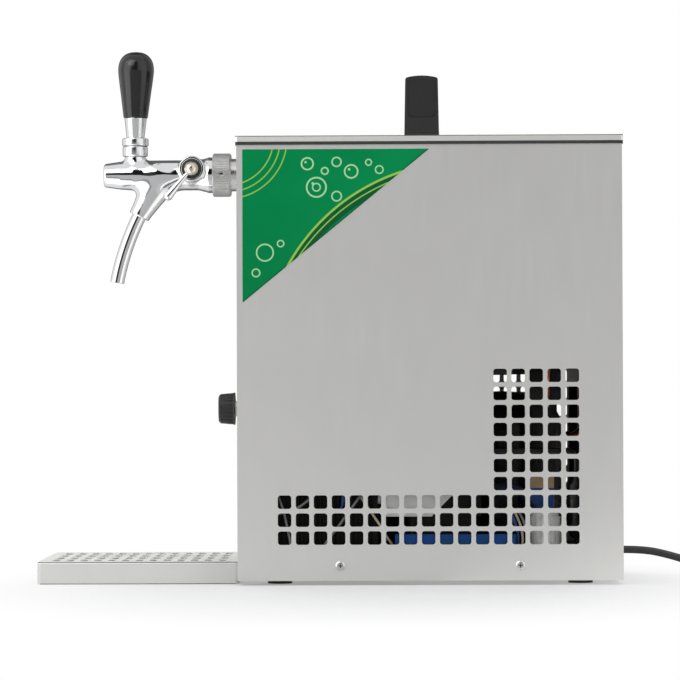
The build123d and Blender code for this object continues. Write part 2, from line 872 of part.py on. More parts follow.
skirt_edge = sqrt(skirt_radius**2 - (ring_radius - loose) ** 2)
skirt_inner = stem_radius + running
skirt_hole = sqrt(skirt_radius**2 - skirt_inner**2)
skirt_middle_angle = (atan2(skirt_edge, ring_radius - loose) + atan2(skirt_hole, skirt_inner)) / 2
with BuildPart() as handle_ring:
    with BuildSketch(collar_plane):
        with BuildLine():
            ThreePointArc(
                (skirt_inner, skirt_hole),
                (skirt_radius * cos(skirt_middle_angle), skirt_radius * sin(skirt_middle_angle)),
                (ring_radius - loose, skirt_edge),
            )
            Polyline(
                (ring_radius - loose, skirt_edge),
                (ring_radius, skirt_edge),
                (ring_radius, ring_top),
                (skirt_inner, ring_top),
                (skirt_inner, skirt_hole),
            )
        make_face()
    revolve(axis=Axis(pivot, (0, 0, 1)))
keep(handle_ring, "handle_ring")

handle_ferrule = turned(
    [
        (stem_radius + running, ring_top),
        (ferrule_seat, ring_top),
        (ferrule_seat, ferrule_low),
        (ferrule_low_radius, ferrule_low),
        (ferrule_high_radius, ferrule_high),
        (stud_radius, ferrule_high),
        (stud_radius, stud_top),
        (0, stud_top),
        (0, stem_top),
        (stem_radius + running, stem_top),
    ],
    pivot,
    (0, 0, 1),
)
keep(handle_ferrule, "handle_ferrule")

with BuildPart() as handle_knob:
    with BuildSketch(collar_plane):
        with BuildLine():
            Line((stud_radius + running, stud_top), (stud_radius + running, ferrule_high))
            Line((stud_radius + running, ferrule_high), (knob_base_radius, ferrule_high))
            ThreePointArc(
                (knob_base_radius, ferrule_high),
                (knob_base_radius + 3.4, (ferrule_high + knob_wide) / 2),
                (knob_wide_radius, knob_wide),
            )
            ThreePointArc(
                (knob_wide_radius, knob_wide),
                (knob_wide_radius * cos(pi / 4), knob_wide + knob_wide_radius * sin(pi / 4)),
                (0, knob_crown),
            )
            Line((0, knob_crown), (0, stud_top))
            Line((0, stud_top), (stud_radius + running, stud_top))
        make_face()
    revolve(axis=Axis(pivot, (0, 0, 1)))
keep(handle_knob, "handle_knob")

# Compensator: a cone in the rear chamber, moved by a pin on the axle of the side lever
cone_front_reach = 53.0
cone_rear_reach = 33.0
cone_big = 7.5
cone_small = 6.0
groove_half = pin_radius + 0.4
axle_ball_radius = 6.5
axle_ball_y = -21.5
lever_tip = (-23.9, -28.3)
lever_root_radius = 1.6
lever_tip_radius = 4.2

cone_blank = along_tap([
    (0, cone_rear_reach),
    (cone_small, cone_rear_reach),
    (cone_big, cone_front_reach - 2.0),
    (cone_small, cone_front_reach),
    (0, cone_front_reach),
])
with BuildPart() as compensator_cone:
    add(cone_blank.part)
    with Locations((compensator_x, pin_end_y + 1.5, tap_height)):
        Box(
            2 * groove_half, 2 * tap_bore, 4 * tap_bore,
            align=(Align.CENTER, Align.MAX, Align.CENTER), mode=Mode.SUBTRACT,
        )
keep(compensator_cone, "compensator_cone")

with BuildPart() as compensator_seal:
    with BuildSketch(Plane.XZ.offset(-boss_face_y - seal_depth)):
        with Locations((compensator_x, compensator_z)):
            Circle(seal_radius)
            Circle(axle_radius + running, mode=Mode.SUBTRACT)
    extrude(amount=seal_depth)
keep(compensator_seal, "compensator_seal")

axle_plane = lathe_plane((compensator_x, axle_end_y, compensator_z), (0, -1, 0))
ball_low = axle_end_y - boss_face_y
ball_middle = axle_end_y - axle_ball_y
ball_cut_radius = sqrt(axle_ball_radius**2 - (ball_middle - ball_low) ** 2)
with BuildPart() as compensator_axle:
    with BuildSketch(axle_plane):
        with BuildLine():
            Polyline(
                (0, ball_middle + axle_ball_radius), (0, 0), (axle_radius, 0),
                (axle_radius, ball_low), (ball_cut_radius, ball_low),
            )
            ThreePointArc(
                (ball_cut_radius, ball_low),
                (axle_ball_radius, ball_middle),
                (0, ball_middle + axle_ball_radius),
            )
        make_face()
    revolve(axis=Axis(axle_plane.origin, axle_plane.y_dir))
    with BuildSketch(Plane.XZ.offset(-pin_end_y)):
        with Locations((compensator_x, compensator_z - pin_offset)):
            Circle(pin_radius)
    extrude(amount=pin_end_y - axle_end_y)
keep(compensator_axle, "compensator_axle")

lever_angle = atan2(lever_tip[1], lever_tip[0])
lever_length = sqrt(lever_tip[0] ** 2 + lever_tip[1] ** 2)
lever_plane = Plane(
    origin=(compensator_x, axle_ball_y, compensator_z),
    x_dir=(cos(lever_angle), 0, sin(lever_angle)),
    z_dir=(0, -1, 0),
)
lever_start = axle_ball_radius - 1.0
with BuildPart() as compensator_lever:
    with BuildSketch(lever_plane):
        with BuildLine():
            Polyline((lever_length, 0), (lever_start, 0), (lever_start, lever_root_radius))
            Line((lever_start, lever_root_radius), (lever_length - lever_tip_radius, lever_tip_radius))
            ThreePointArc(
                (lever_length - lever_tip_radius, lever_tip_radius),
                (lever_length - lever_tip_radius * (1 - cos(pi / 4)), lever_tip_radius * sin(pi / 4)),
                (lever_length, 0),
            )
        make_face()
    revolve(axis=Axis(lever_plane.origin, lever_plane.x_dir))
    with Locations((compensator_x, axle_ball_y, compensator_z)):
        Sphere(axle_ball_radius, mode=Mode.SUBTRACT)
keep(compensator_lever, "compensator_lever")

# Thermostat behind the front panel, its shaft and its knob
body_size = (40.0, 34.0, 30.0)
bush_reach = 2.9
thermostat_shaft_radius = 3.0
knob_gap = 3.4
knob_depth = 15.2
knob_radius = 14.2
knob_front_radius = 13.2
grip_ribs = 24
shaft_inside = 12.0
shaft_reach = 14.0
thermostat_origin = (front_x, thermostat_y, thermostat_height)

bush = turned(
    [
        (thermostat_shaft_radius + running, -sheet),
        (bush_radius, -sheet),
        (bush_radius, 0),
        (bush_radius + 2.0, 0),
        (bush_radius + 2.0, bush_reach),
        (thermostat_shaft_radius + running, bush_reach),
    ],
    thermostat_origin,
    (-1, 0, 0),
)
with BuildPart() as thermostat_body:
    with Locations((inner_front_x, thermostat_y, thermostat_height)):
        Box(*body_size, align=(Align.MIN, Align.CENTER, Align.CENTER))
        Cylinder(
            thermostat_shaft_radius + running, 2 * (shaft_inside + loose), rotation=(0, 90, 0),
            mode=Mode.SUBTRACT,
        )
    add(bush.part)
keep(thermostat_body, "thermostat_body")

thermostat_shaft = turned(
    [
        (0, -shaft_inside - sheet + loose),
        (thermostat_shaft_radius, -shaft_inside - sheet + loose),
        (thermostat_shaft_radius, shaft_reach),
        (0, shaft_reach),
    ],
    thermostat_origin,
    (-1, 0, 0),
)
keep(thermostat_shaft, "thermostat_shaft")

knob_blank = turned(
    [
        (thermostat_shaft_radius + running, knob_gap),
        (knob_radius + 0.4, knob_gap),
        (knob_radius + 0.4, knob_gap + 0.8),
        (knob_radius, knob_gap + 1.6),
        (knob_front_radius, knob_gap + knob_depth - 2.2),
        (knob_front_radius - 1.6, knob_gap + knob_depth - 0.5),
        (0, knob_gap + knob_depth),
        (0, shaft_reach),
        (thermostat_shaft_radius + running, shaft_reach),
    ],
    thermostat_origin,
    (-1, 0, 0),
)
with BuildPart() as thermostat_knob:
    add(knob_blank.part)
    with BuildSketch(Plane.YZ.offset(front_x - knob_gap - 1.6)):
        with Locations((thermostat_y, thermostat_height)):
            with PolarLocations(knob_radius + 0.1, grip_ribs):
                Circle(0.9)
    extrude(amount=-knob_depth, mode=Mode.SUBTRACT)
keep(thermostat_knob, "thermostat_knob")

# Shelf across the casing, notched round the front panel's returns
with BuildPart() as block_shelf:
    with BuildSketch(Plane.YZ.offset(inner_front_x)):
        with BuildLine():
            Polyline(
                (-inner_y, shelf_height), (inner_y, shelf_height),
                (inner_y, shelf_top_z + shelf_flange), (inner_y - sheet, shelf_top_z + shelf_flange),
                (inner_y - sheet, shelf_top_z), (-inner_y + sheet, shelf_top_z),
                (-inner_y + sheet, shelf_top_z + shelf_flange), (-inner_y, shelf_top_z + shelf_flange),
                close=True,
            )
        make_face()
    extrude(amount=shelf_length)
    for side in (-1, 1):
        with Locations((inner_front_x, side * inner_y, shelf_height)):
            Box(
                return_width, 2 * sheet, 3 * shelf_flange,
                align=(Align.MIN, Align.CENTER, Align.CENTER), mode=Mode.SUBTRACT,
            )
keep(block_shelf, "block_shelf")

foam_low_x = inner_front_x + foam_front
foam_high_x = inner_front_x + shelf_length - foam_rear_step
block_low_x = foam_low_x + foam_wall
block_high_x = foam_high_x - foam_wall
block_low_z = shelf_top_z + foam_wall
block_height = foam_height - 2 * foam_wall
beer_passes = 5
evaporator_passes = 4
pass_low_x = block_low_x + coil_radius + coil_bend
pass_high_x = block_high_x - coil_radius - coil_bend
riser_x = inner_front_x + 60.0
pipe_hole = coil_radius + loose
evaporator_high_z = coil_low_z + 2 * coil_bend * (evaporator_passes - 1)

with BuildPart() as block_insulation:
    with Locations(((foam_low_x + foam_high_x) / 2, 0, shelf_top_z)):
        Box(
            foam_high_x - foam_low_x, foam_width, foam_height,
            align=(Align.CENTER, Align.CENTER, Align.MIN),
        )
    fillet(block_insulation.edges().filter_by(Axis.Z), 6.0)
    with Locations(((foam_low_x + foam_high_x) / 2, 0, block_low_z)):
        Box(
            block_high_x - block_low_x, foam_width - 2 * foam_wall, block_height,
            align=(Align.CENTER, Align.CENTER, Align.MIN), mode=Mode.SUBTRACT,
        )
    with BuildSketch(Plane.YZ.offset(foam_high_x)):
        with Locations((coil_y, coil_low_z), (-coil_y, coil_low_z), (-coil_y, evaporator_high_z)):
            Circle(pipe_hole)
    extrude(amount=-foam_wall, mode=Mode.SUBTRACT)
    with BuildSketch(Plane.XY.offset(shelf_top_z + foam_height)):
        with Locations((riser_x, coil_y)):
            Circle(pipe_hole)
    extrude(amount=-foam_wall, mode=Mode.SUBTRACT)
keep(block_insulation, "block_insulation")

with BuildPart() as cooling_block:
    with Locations(((block_low_x + block_high_x) / 2, 0, block_low_z)):
        Box(
            block_high_x - block_low_x, 2 * block_half, block_height,
            align=(Align.CENTER, Align.CENTER, Align.MIN),
        )
keep(cooling_block, "cooling_block")


def serpentine(passes, y):
    """Corner points of a flat coil that starts at the rear and climbs one pass at a time."""
    points = []
    for i in range(passes):
        z = coil_low_z + 2 * coil_bend * i
        turn_x = pass_low_x - coil_bend if i % 2 == 0 else pass_high_x + coil_bend
        if i > 0:
            points.append((points[-1][0], y, z))
        if i < passes - 1:
            points.append((turn_x, y, z))
    return points


fitting_inside = 13.0
fitting_inner_x = rear_x - fitting_inside
shank_inner_x = inner_front_x + shank_inside
coil_side_bend = coil_bend * 0.999
beer_route = [(fitting_inner_x, coil_y, coil_low_z), *serpentine(beer_passes, coil_y)]
beer_route += [
    (riser_x, coil_y, beer_route[-1][2]),
    (riser_x, coil_y, tap_height),
    (riser_x, 0, tap_height),
    (shank_inner_x, 0, tap_height),
]
beer_coil = tube(beer_route, [coil_side_bend] * (len(beer_route) - 2), coil_radius)
keep(beer_coil, "beer_coil")

# Compressor on four grommets, with stubs for its pipes
compressor_from_front = 238.0
compressor_x = front_x + compressor_from_front
compressor_y = 12.0
compressor_radius = 57.0
compressor_foot_z = 22.0
compressor_plate = 4.0
compressor_top_z = 172.0
lower_shell_radius = 56.0
seam_height = 78.0
seam_proud = 2.0
grommet_radius = 8.0
grommet_spacing = (100.0, 76.0)
plate_size = (124.0, 96.0)
stub_radius = 4.5
stub_z = 130.0
stub_reach = 62.0
pipe_radius = 3.0
pipe_bend = 9.0
shell_low_z = compressor_foot_z + compressor_plate
shell_height = compressor_top_z - shell_low_z

with BuildPart() as compressor:
    with BuildSketch(lathe_plane((compressor_x, compressor_y, shell_low_z), (0, 0, 1))):
        with BuildLine():
            Line((0, 0), (compressor_radius * 0.62, 0))
            ThreePointArc(
                (compressor_radius * 0.62, 0), (compressor_radius * 0.9, 8), (lower_shell_radius, 30)
            )
            Line((lower_shell_radius, 30), (lower_shell_radius, seam_height))
            Line((lower_shell_radius, seam_height), (compressor_radius + seam_proud, seam_height))
            Line(
                (compressor_radius + seam_proud, seam_height),
                (compressor_radius + seam_proud, seam_height + 4),
            )
            Line((compressor_radius + seam_proud, seam_height + 4), (compressor_radius, seam_height + 4))
            Line((compressor_radius, seam_height + 4), (compressor_radius, shell_height - 36))
            ThreePointArc(
                (compressor_radius, shell_height - 36),
                (compressor_radius * 0.82, shell_height - 12),
                (compressor_radius * 0.3, shell_height - 1),
            )
            Line((compressor_radius * 0.3, shell_height - 1), (0, shell_height))
            Line((0, shell_height), (0, 0))
        make_face()
    revolve(axis=Axis((compressor_x, compressor_y, 0), (0, 0, 1)))
    with Locations((compressor_x, compressor_y, compressor_foot_z)):
        Box(*plate_size, compressor_plate, align=(Align.CENTER, Align.CENTER, Align.MIN))
    with Locations((compressor_x, compressor_y, stub_z)):
        Cylinder(stub_radius, 2 * stub_reach, rotation=(0, 90, 0))
keep(compressor, "compressor")

with BuildPart() as compressor_grommets:
    with BuildSketch(Plane.XY.offset(floor_z)):
        with Locations((compressor_x, compressor_y)):
            with GridLocations(*grommet_spacing, 2, 2):
                Circle(grommet_radius)
    extrude(amount=compressor_foot_z - floor_z)
keep(compressor_grommets, "compressor_grommets")

# Terminal cover, hollowed to the shell, and the run capacitor beside it
cover_low = (compressor_x + 22.0, compressor_y - compressor_radius - 14.0, 62.0)
cover_size = (24.0, 30.0, 36.0)
with BuildPart() as terminal_cover:
    with Locations(cover_low):
        Box(*cover_size, align=(Align.MIN, Align.MIN, Align.MIN))
    fillet(terminal_cover.edges().filter_by(Axis.Z), 2.5)
    with Locations((compressor_x, compressor_y, 0)):
        Cylinder(
            lower_shell_radius + running, casing_height,
            align=(Align.CENTER, Align.CENTER, Align.MIN), mode=Mode.SUBTRACT,
        )
keep(terminal_cover, "terminal_cover")

capacitor_place = (rear_x - 69.0, -side_y + 20.0)
capacitor_radius = 14.0
capacitor_height = 59.0
capacitor_ribs = 20
with BuildPart() as run_capacitor:
    with BuildSketch(Plane.XY.offset(floor_z)):
        with Locations(capacitor_place):
            Circle(capacitor_radius)
            with PolarLocations(capacitor_radius, capacitor_ribs):
                Circle(0.8, mode=Mode.SUBTRACT)
    extrude(amount=capacitor_height - 4)
    with BuildSketch(Plane.XY.offset(floor_z + capacitor_height - 4)):
        with Locations(capacitor_place):
            Circle(capacitor_radius - 1.5)
    extrude(amount=4)
keep(run_capacitor, "run_capacitor")

# Condenser with its fan behind the low vents
condenser_front = 25.0
condenser_length = 100.0
condenser_depth = 34.0
condenser_near = 10.0
condenser_low_z = 16.0
condenser_top_z = 138.0
fin_pitch = 4.0
fin_slot = 2.2
fin_slot_depth = 3.0
condenser_low_x = front_x + condenser_front
condenser_x = condenser_low_x + condenser_length / 2
condenser_high_x = condenser_low_x + condenser_length
condenser_y = -side_y + condenser_near + condenser_depth / 2
condenser_far_y = condenser_y + condenser_depth / 2
condenser_z = (condenser_low_z + condenser_top_z) / 2
condenser_port_z = stub_z
liquid_port_z = 118.0
port_reach = 5.0
end_plate = 2.0
fin_count = int((condenser_length - 4 * end_plate) / fin_pitch)

with BuildPart() as condenser:
    with Locations((condenser_x, condenser_y, condenser_z)):
        Box(condenser_length, condenser_depth, condenser_top_z - condenser_low_z)
        with GridLocations(fin_pitch, condenser_depth, fin_count, 2):
            Box(
                fin_slot, 2 * fin_slot_depth, condenser_top_z - condenser_low_z - 6,
                mode=Mode.SUBTRACT,
            )
    with BuildSketch(Plane.XY.offset(floor_z)):
        with Locations((condenser_x, condenser_y)):
            with GridLocations(condenser_length - end_plate, 0, 2, 1):
                Rectangle(end_plate, condenser_depth)
    extrude(amount=condenser_top_z + 2 - floor_z)
    with BuildSketch(Plane.YZ.offset(condenser_high_x)):
        with Locations((-coil_y, condenser_port_z), (-coil_y, liquid_port_z)):
            Circle(stub_radius)
    extrude(amount=port_reach)
keep(condenser, "condenser")

fan_radius = 47.0
fan_ring_radius = 49.5
fan_ring_wall = 2.0
fan_plate = 2.0
fan_ring_depth = 20.0
fan_z = 72.0
motor_radius = 20.0
motor_length = 32.0
arm_width = 7.0
arm_thickness = 2.5
hub_radius = 13.0
blade_count = 5
blade_pitch_angle = 32.0
blade_thickness = 1.6
blade_chord = 22.0
fan_shaft_radius = 2.0
plate_face_y = condenser_far_y
ring_far_y = plate_face_y + fan_plate + fan_ring_depth
motor_face_y = ring_far_y
fan_middle_y = plate_face_y + fan_plate + fan_ring_depth / 2 - 2.0

with BuildPart() as fan_shroud:
    with BuildSketch(Plane.XZ.offset(-plate_face_y)):
        with Locations((condenser_x, condenser_z)):
            Rectangle(condenser_length, condenser_top_z - condenser_low_z)
        with Locations((condenser_x, fan_z)):
            Circle(fan_ring_radius, mode=Mode.SUBTRACT)
    extrude(amount=-fan_plate)
    with BuildSketch(Plane.XZ.offset(-plate_face_y - fan_plate)):
        with Locations((condenser_x, fan_z)):
            Circle(fan_ring_radius + fan_ring_wall)
            Circle(fan_ring_radius, mode=Mode.SUBTRACT)
    extrude(amount=-fan_ring_depth)
    with BuildSketch(Plane.XZ.offset(-ring_far_y)):
        with Locations((condenser_x, fan_z)):
            Rectangle(2 * fan_ring_radius, arm_width)
            Rectangle(arm_width, 2 * fan_ring_radius)
            Circle(motor_radius - 3)
            Circle(fan_shaft_radius + 1.0, mode=Mode.SUBTRACT)
    extrude(amount=arm_thickness)
keep(fan_shroud, "fan_shroud")

with BuildPart() as fan_motor:
    with BuildSketch(Plane.XZ.offset(-motor_face_y)):
        with Locations((condenser_x, fan_z)):
            Circle(motor_radius)
    extrude(amount=-motor_length)
    chamfer(fan_motor.edges().filter_by(GeomType.CIRCLE).group_by(Axis.Y)[-1], 3.0)
    with BuildSketch(Plane.XZ.offset(-motor_face_y)):
        with Locations((condenser_x, fan_z)):
            Circle(fan_shaft_radius + running)
    extrude(amount=-motor_length / 2, mode=Mode.SUBTRACT)
keep(fan_motor, "fan_motor")

hub_depth = 12.0
with BuildPart() as fan_blade:
    with BuildSketch(Plane.XZ.offset(-fan_middle_y - hub_depth / 2)):
        with Locations((condenser_x, fan_z)):
            Circle(hub_radius)
    extrude(amount=hub_depth)
    with BuildSketch(Plane.XZ.offset(-fan_middle_y)):
        with Locations((condenser_x, fan_z)):
            Circle(fan_shaft_radius)
    extrude(amount=-(motor_face_y + motor_length / 2 - 1.0 - fan_middle_y))
    blade_reach = fan_radius - 1.5
    pitch = radians(blade_pitch_angle)
    for i in range(blade_count):
        turn = 2 * pi / blade_count * i
        outward = Vector(cos(turn), 0, sin(turn))
        chord = Vector(-sin(turn) * cos(pitch), sin(pitch), cos(turn) * cos(pitch))
        blade_plane = Plane(
            origin=Vector(condenser_x, fan_middle_y, fan_z) + outward * (hub_radius * 0.8),
            x_dir=chord,
            z_dir=outward,
        )
        with BuildSketch(blade_plane):
            Rectangle(blade_chord * 0.8, blade_thickness)
        with BuildSketch(blade_plane.offset(blade_reach - hub_radius * 0.8)):
            Rectangle(blade_chord, blade_thickness)
        loft()
keep(fan_blade, "fan_blade")

# Refrigerant pipes: discharge, liquid line with its drier, capillary; and the evaporator with suction
line_y = -coil_y
drier_x = front_x + 303.0
drier_radius = 9.0
drier_neck = 4.0
drier_low_z = 40.0
drier_high_z = 96.0
capillary_radius = 1.6
riser_rear_x = inner_rear_x - 13.0
stub_front_x = compressor_x - stub_reach
stub_rear_x = compressor_x + stub_reach
port_x = condenser_high_x + port_reach
suction_x = stub_rear_x + 13.0

discharge = tube(
    [
        (stub_front_x, compressor_y, stub_z),
        (stub_front_x - 18, compressor_y, stub_z),
        (stub_front_x - 18, line_y, stub_z),
        (port_x, line_y, stub_z),
    ],
    [pipe_bend, pipe_bend],
    pipe_radius,
)
liquid_line = tube(
    [(port_x, line_y, liquid_port_z), (drier_x, line_y, liquid_port_z), (drier_x, line_y, drier_high_z)],
    [pipe_bend],
    pipe_radius,
)
capillary = tube(
    [
        (drier_x, line_y, drier_low_z),
        (drier_x, line_y, drier_low_z - 16),
        (riser_rear_x, line_y, drier_low_z - 16),
        (riser_rear_x, line_y, coil_low_z),
        (foam_high_x + 1.0, line_y, coil_low_z),
    ],
    [7.0, 7.0, 7.0],
    capillary_radius,
)
filter_drier = turned(
    [
        (0, drier_low_z),
        (drier_neck, drier_low_z),
        (drier_radius, drier_low_z + 8),
        (drier_radius, drier_high_z - 8),
        (drier_neck, drier_high_z),
        (0, drier_high_z),
    ],
    (drier_x, line_y, 0),
    (0, 0, 1),
)
with BuildPart() as refrigerant_pipes:
    add([discharge.part, liquid_line.part, filter_drier.part, capillary.part])
keep(refrigerant_pipes, "refrigerant_pipes")

evaporator_route = [(foam_high_x + 1.0, line_y, coil_low_z), *serpentine(evaporator_passes, line_y)]
evaporator_route += [
    (suction_x, line_y, evaporator_high_z),
    (suction_x, compressor_y, evaporator_high_z),
    (suction_x, compressor_y, stub_z),
    (stub_rear_x, compressor_y, stub_z),
]
evaporator_bends = [coil_side_bend] * (len(evaporator_route) - 2)
evaporator_pipe = tube(evaporator_route, evaporator_bends, coil_radius)
keep(evaporator_pipe, "evaporator_pipe")

# Air pump: motor, head with a plain plate, and an outlet for the hose
pump_from_front = 181.0
pump_from_side = 38.0
pump_place = (front_x + pump_from_front, -side_y + pump_from_side)
pump_motor_size = (60.0, 50.0, 56.0)
pump_head_size = (72.0, 54.0, 46.0)
pump_head_low_z = floor_z + pump_motor_size[2]
hose_radius = 4.0
hose_z = 86.0
pump_port_reach = 6.0
pump_high_x = pump_place[0] + pump_head_size[0] / 2
hose_start = (pump_high_x + pump_port_reach, pump_place[1] - 10.0, hose_z)

with BuildPart() as air_pump:
    with Locations((*pump_place, floor_z)):
        Box(*pump_motor_size, align=(Align.CENTER, Align.CENTER, Align.MIN))
    fillet(air_pump.edges().filter_by(Axis.Z), 8.0)
    with Locations((*pump_place, pump_head_low_z)):
        Box(*pump_head_size, align=(Align.CENTER, Align.CENTER, Align.MIN))
    with BuildSketch(Plane.YZ.offset(pump_high_x)):
        with Locations((hose_start[1], hose_z)):
            Circle(hose_radius + 1.0)
    extrude(amount=pump_port_reach)
keep(air_pump, "air_pump")

hose_low_z = 13.0
air_hose = tube(
    [
        hose_start,
        (hose_start[0] + 26, hose_start[1], hose_z),
        (rear_x - 75, line_y + 4, 60),
        (rear_x - 75, line_y + 8, 24),
        (rear_x - 55, line_y + 22, hose_low_z),
        (rear_x - 25, -20, hose_low_z),
        (rear_x - 25, fitting_y, hose_low_z),
        (rear_x - 25, fitting_y, air_fitting_z),
        (fitting_inner_x, fitting_y, air_fitting_z),
    ],
    [12, 14, 9, 14, 20, 10, 9],
    hose_radius,
)
keep(air_hose, "air_hose")

# Foam strip against the near side's flange, below the lowest vents' middle
strip_from_front = 140.0
strip_low_x = front_x + strip_from_front
strip_length = 108.0
strip_thickness = 6.0
strip_top_z = 45.0
strip_y = -inner_y + sheet + 0.3
with BuildPart() as foam_strip:
    with BuildSketch(Plane.XY.offset(floor_z)):
        with Locations((strip_low_x + strip_length / 2, strip_y + strip_thickness / 2)):
            RectangleRounded(strip_length, strip_thickness, 1.5)
    extrude(amount=strip_top_z - floor_z)
keep(foam_strip, "foam_strip")

# Push-in fittings on the rear: body through the panel, and a collet that is pressed to let the tube go
collet_bore = {"beer": 4.8, "air": 4.05}
collet_outer = 6.5
collet_flange = 8.2
collet_flange_thickness = 2.0
collet_travel = 1.0
collet_depth = 4.0
fitting_hex = 10.5
fitting_face = rear_reach - collet_flange_thickness - collet_travel - 0.2
fitting_stop = 9.0
fitting_bore = 3.2


def fitting_body(bore, height):
    return turned(
        [
            (fitting_bore, -fitting_inside),
            (fitting_hex, -fitting_inside),
            (fitting_hex, -sheet),
            (fitting_thread_radius, -sheet),
            (fitting_thread_radius, 0),
            (fitting_hex, 0),
            (fitting_hex, fitting_face - 1.0),
            (fitting_hex - 1.0, fitting_face),
            (collet_outer + running, fitting_face),
            (collet_outer + running, -collet_depth - collet_travel - 0.2),
            (bore, -collet_depth - collet_travel - 0.2),
            (bore, -fitting_stop),
            (fitting_bore, -fitting_stop),
        ],
        (rear_x, fitting_y, height),
        (1, 0, 0),
    )


def fitting_collet(bore, height):
    return turned(
        [
            (bore, -collet_depth),
            (collet_outer, -collet_depth),
            (collet_outer, rear_reach - collet_flange_thickness),
            (collet_flange, rear_reach - collet_flange_thickness),
            (collet_flange, rear_reach),
            (bore, rear_reach),
        ],
        (rear_x, fitting_y, height),
        (1, 0, 0),
    )


beer_fitting = fitting_body(collet_bore["beer"], beer_fitting_z)
keep(beer_fitting, "beer_fitting")
beer_collet = fitting_collet(collet_bore["beer"], beer_fitting_z)
keep(beer_collet, "beer_collet")
air_fitting = fitting_body(collet_bore["air"], air_fitting_z)
keep(air_fitting, "air_fitting")
air_collet = fitting_collet(collet_bore["air"], air_fitting_z)
keep(air_collet, "air_collet")

# Rocker switch of the air pump
switch_depth = 22.0
switch_bezel = 2.0
switch_bezel_thickness = 1.5
rocker_length = 19.8
rocker_width = 14.0
rocker_pocket = 8.0
rocker_radius = rocker_length / 2 - loose
rocker_pivot = (rear_x - 1.0, switch_y, switch_z)
rocker_tilt = 10.0
rocker_crest = 4.8
rocker_back = 4.0
rocker_pin = 1.2
with BuildPart() as switch_housing:
    with BuildSketch(Plane.YZ.offset(rear_x)):
        with Locations((switch_y, switch_z)):
            RectangleRounded(switch_width + 2 * switch_bezel, switch_height + 2 * switch_bezel, 1.5)
    extrude(amount=switch_bezel_thickness)
    with BuildSketch(Plane.YZ.offset(rear_x)):
        with Locations((switch_y, switch_z)):
            Rectangle(switch_width - 2 * running, switch_height - 2 * running)
    extrude(amount=-switch_depth)
    with BuildSketch(Plane.YZ.offset(rear_x + switch_bezel_thickness)):
        with Locations((switch_y, switch_z)):
            Rectangle(rocker_width, rocker_length)
    extrude(amount=-rocker_pocket - switch_bezel_thickness, mode=Mode.SUBTRACT)
    with Locations(rocker_pivot):
        Cylinder(rocker_pin + running, rocker_width + 3, rotation=(90, 0, 0), mode=Mode.SUBTRACT)
keep(switch_housing, "switch_housing")

rocker_plane = Plane(
    origin=rocker_pivot,
    x_dir=(cos(radians(rocker_tilt)), 0, sin(radians(rocker_tilt))),
    z_dir=(0, -1, 0),
)
rocker_edge = sqrt(rocker_radius**2 - rocker_back**2)
rocker_face = sqrt(rocker_radius**2 - 2.2**2)
with BuildPart() as switch_rocker:
    with BuildSketch(rocker_plane.offset(-rocker_width / 2 + loose)):
        with BuildLine():
            Polyline(
                (-rocker_back, -rocker_edge), (2.2, -rocker_face), (rocker_crest, 0),
                (2.2, rocker_face), (-rocker_back, rocker_edge), close=True,
            )
        make_face()
    extrude(amount=rocker_width - 2 * loose)
    with Locations(rocker_pivot):
        Cylinder(rocker_pin, rocker_width + 2.4, rotation=(90, 0, 0))
keep(switch_rocker, "switch_rocker")

# Drip tray and the grate on its rim
tray_wall = 1.0
tray_corner = 3.5
tray_x = (tray_front_x + tray_rear_x) / 2
grate_sheet = 1.0
grate_tongue = 4.0
slot_size = (7.0, 32.0)
slot_pitch = (12.5, 41.0)
slot_margin = 8.0
slot_columns = int((tray_length - 2 * slot_margin - slot_size[0]) / slot_pitch[0]) + 1
slot_rows = int((tray_width - 2 * slot_margin - slot_size[1]) / slot_pitch[1]) + 1
with BuildPart() as drip_tray:
    with BuildSketch(Plane.XY):
        with Locations((tray_x, 0)):
            RectangleRounded(tray_length, tray_width, tray_corner)
    extrude(amount=tray_height)
    with BuildSketch(Plane.XY.offset(tray_wall)):
        with Locations((tray_x, 0)):
            RectangleRounded(
                tray_length - 2 * tray_wall, tray_width - 2 * tray_wall, tray_corner - tray_wall
            )
    extrude(amount=tray_height, mode=Mode.SUBTRACT)
keep(drip_tray, "drip_tray")

tongue_inset = tray_wall + loose
with BuildPart() as drip_grate:
    with BuildSketch(Plane.XY.offset(tray_height)):
        with Locations((tray_x, 0)):
            RectangleRounded(tray_length, tray_width, tray_corner)
    extrude(amount=grate_rise)
    fillet(drip_grate.faces().sort_by(Axis.Z)[-1].edges(), 0.6)
    with BuildSketch(Plane.XY.offset(tray_height)):
        with Locations((tray_x, 0)):
            RectangleRounded(
                tray_length - 2 * tray_wall, tray_width - 2 * tray_wall, tray_corner - tray_wall
            )
    extrude(amount=grate_rise - grate_sheet, mode=Mode.SUBTRACT)
    with BuildSketch(Plane.XY.offset(tray_height + grate_rise - grate_sheet)):
        with Locations((tray_x, 0)):
            RectangleRounded(
                tray_length - 2 * tongue_inset, tray_width - 2 * tongue_inset, tray_corner - tongue_inset
            )
            RectangleRounded(
                tray_length - 2 * tongue_inset - 2 * grate_sheet,
                tray_width - 2 * tongue_inset - 2 * grate_sheet,
                tray_corner - tongue_inset - grate_sheet,
                mode=Mode.SUBTRACT,
            )
    extrude(amount=-grate_tongue)
    with BuildSketch(Plane.XY.offset(tray_height + grate_rise)):
        with Locations((tray_x, 0)):
            with GridLocations(*slot_pitch, slot_columns, slot_rows):
                SlotOverall(slot_size[1], slot_size[0], rotation=90)
    extrude(amount=-grate_sheet, mode=Mode.SUBTRACT)
keep(drip_grate, "drip_grate")

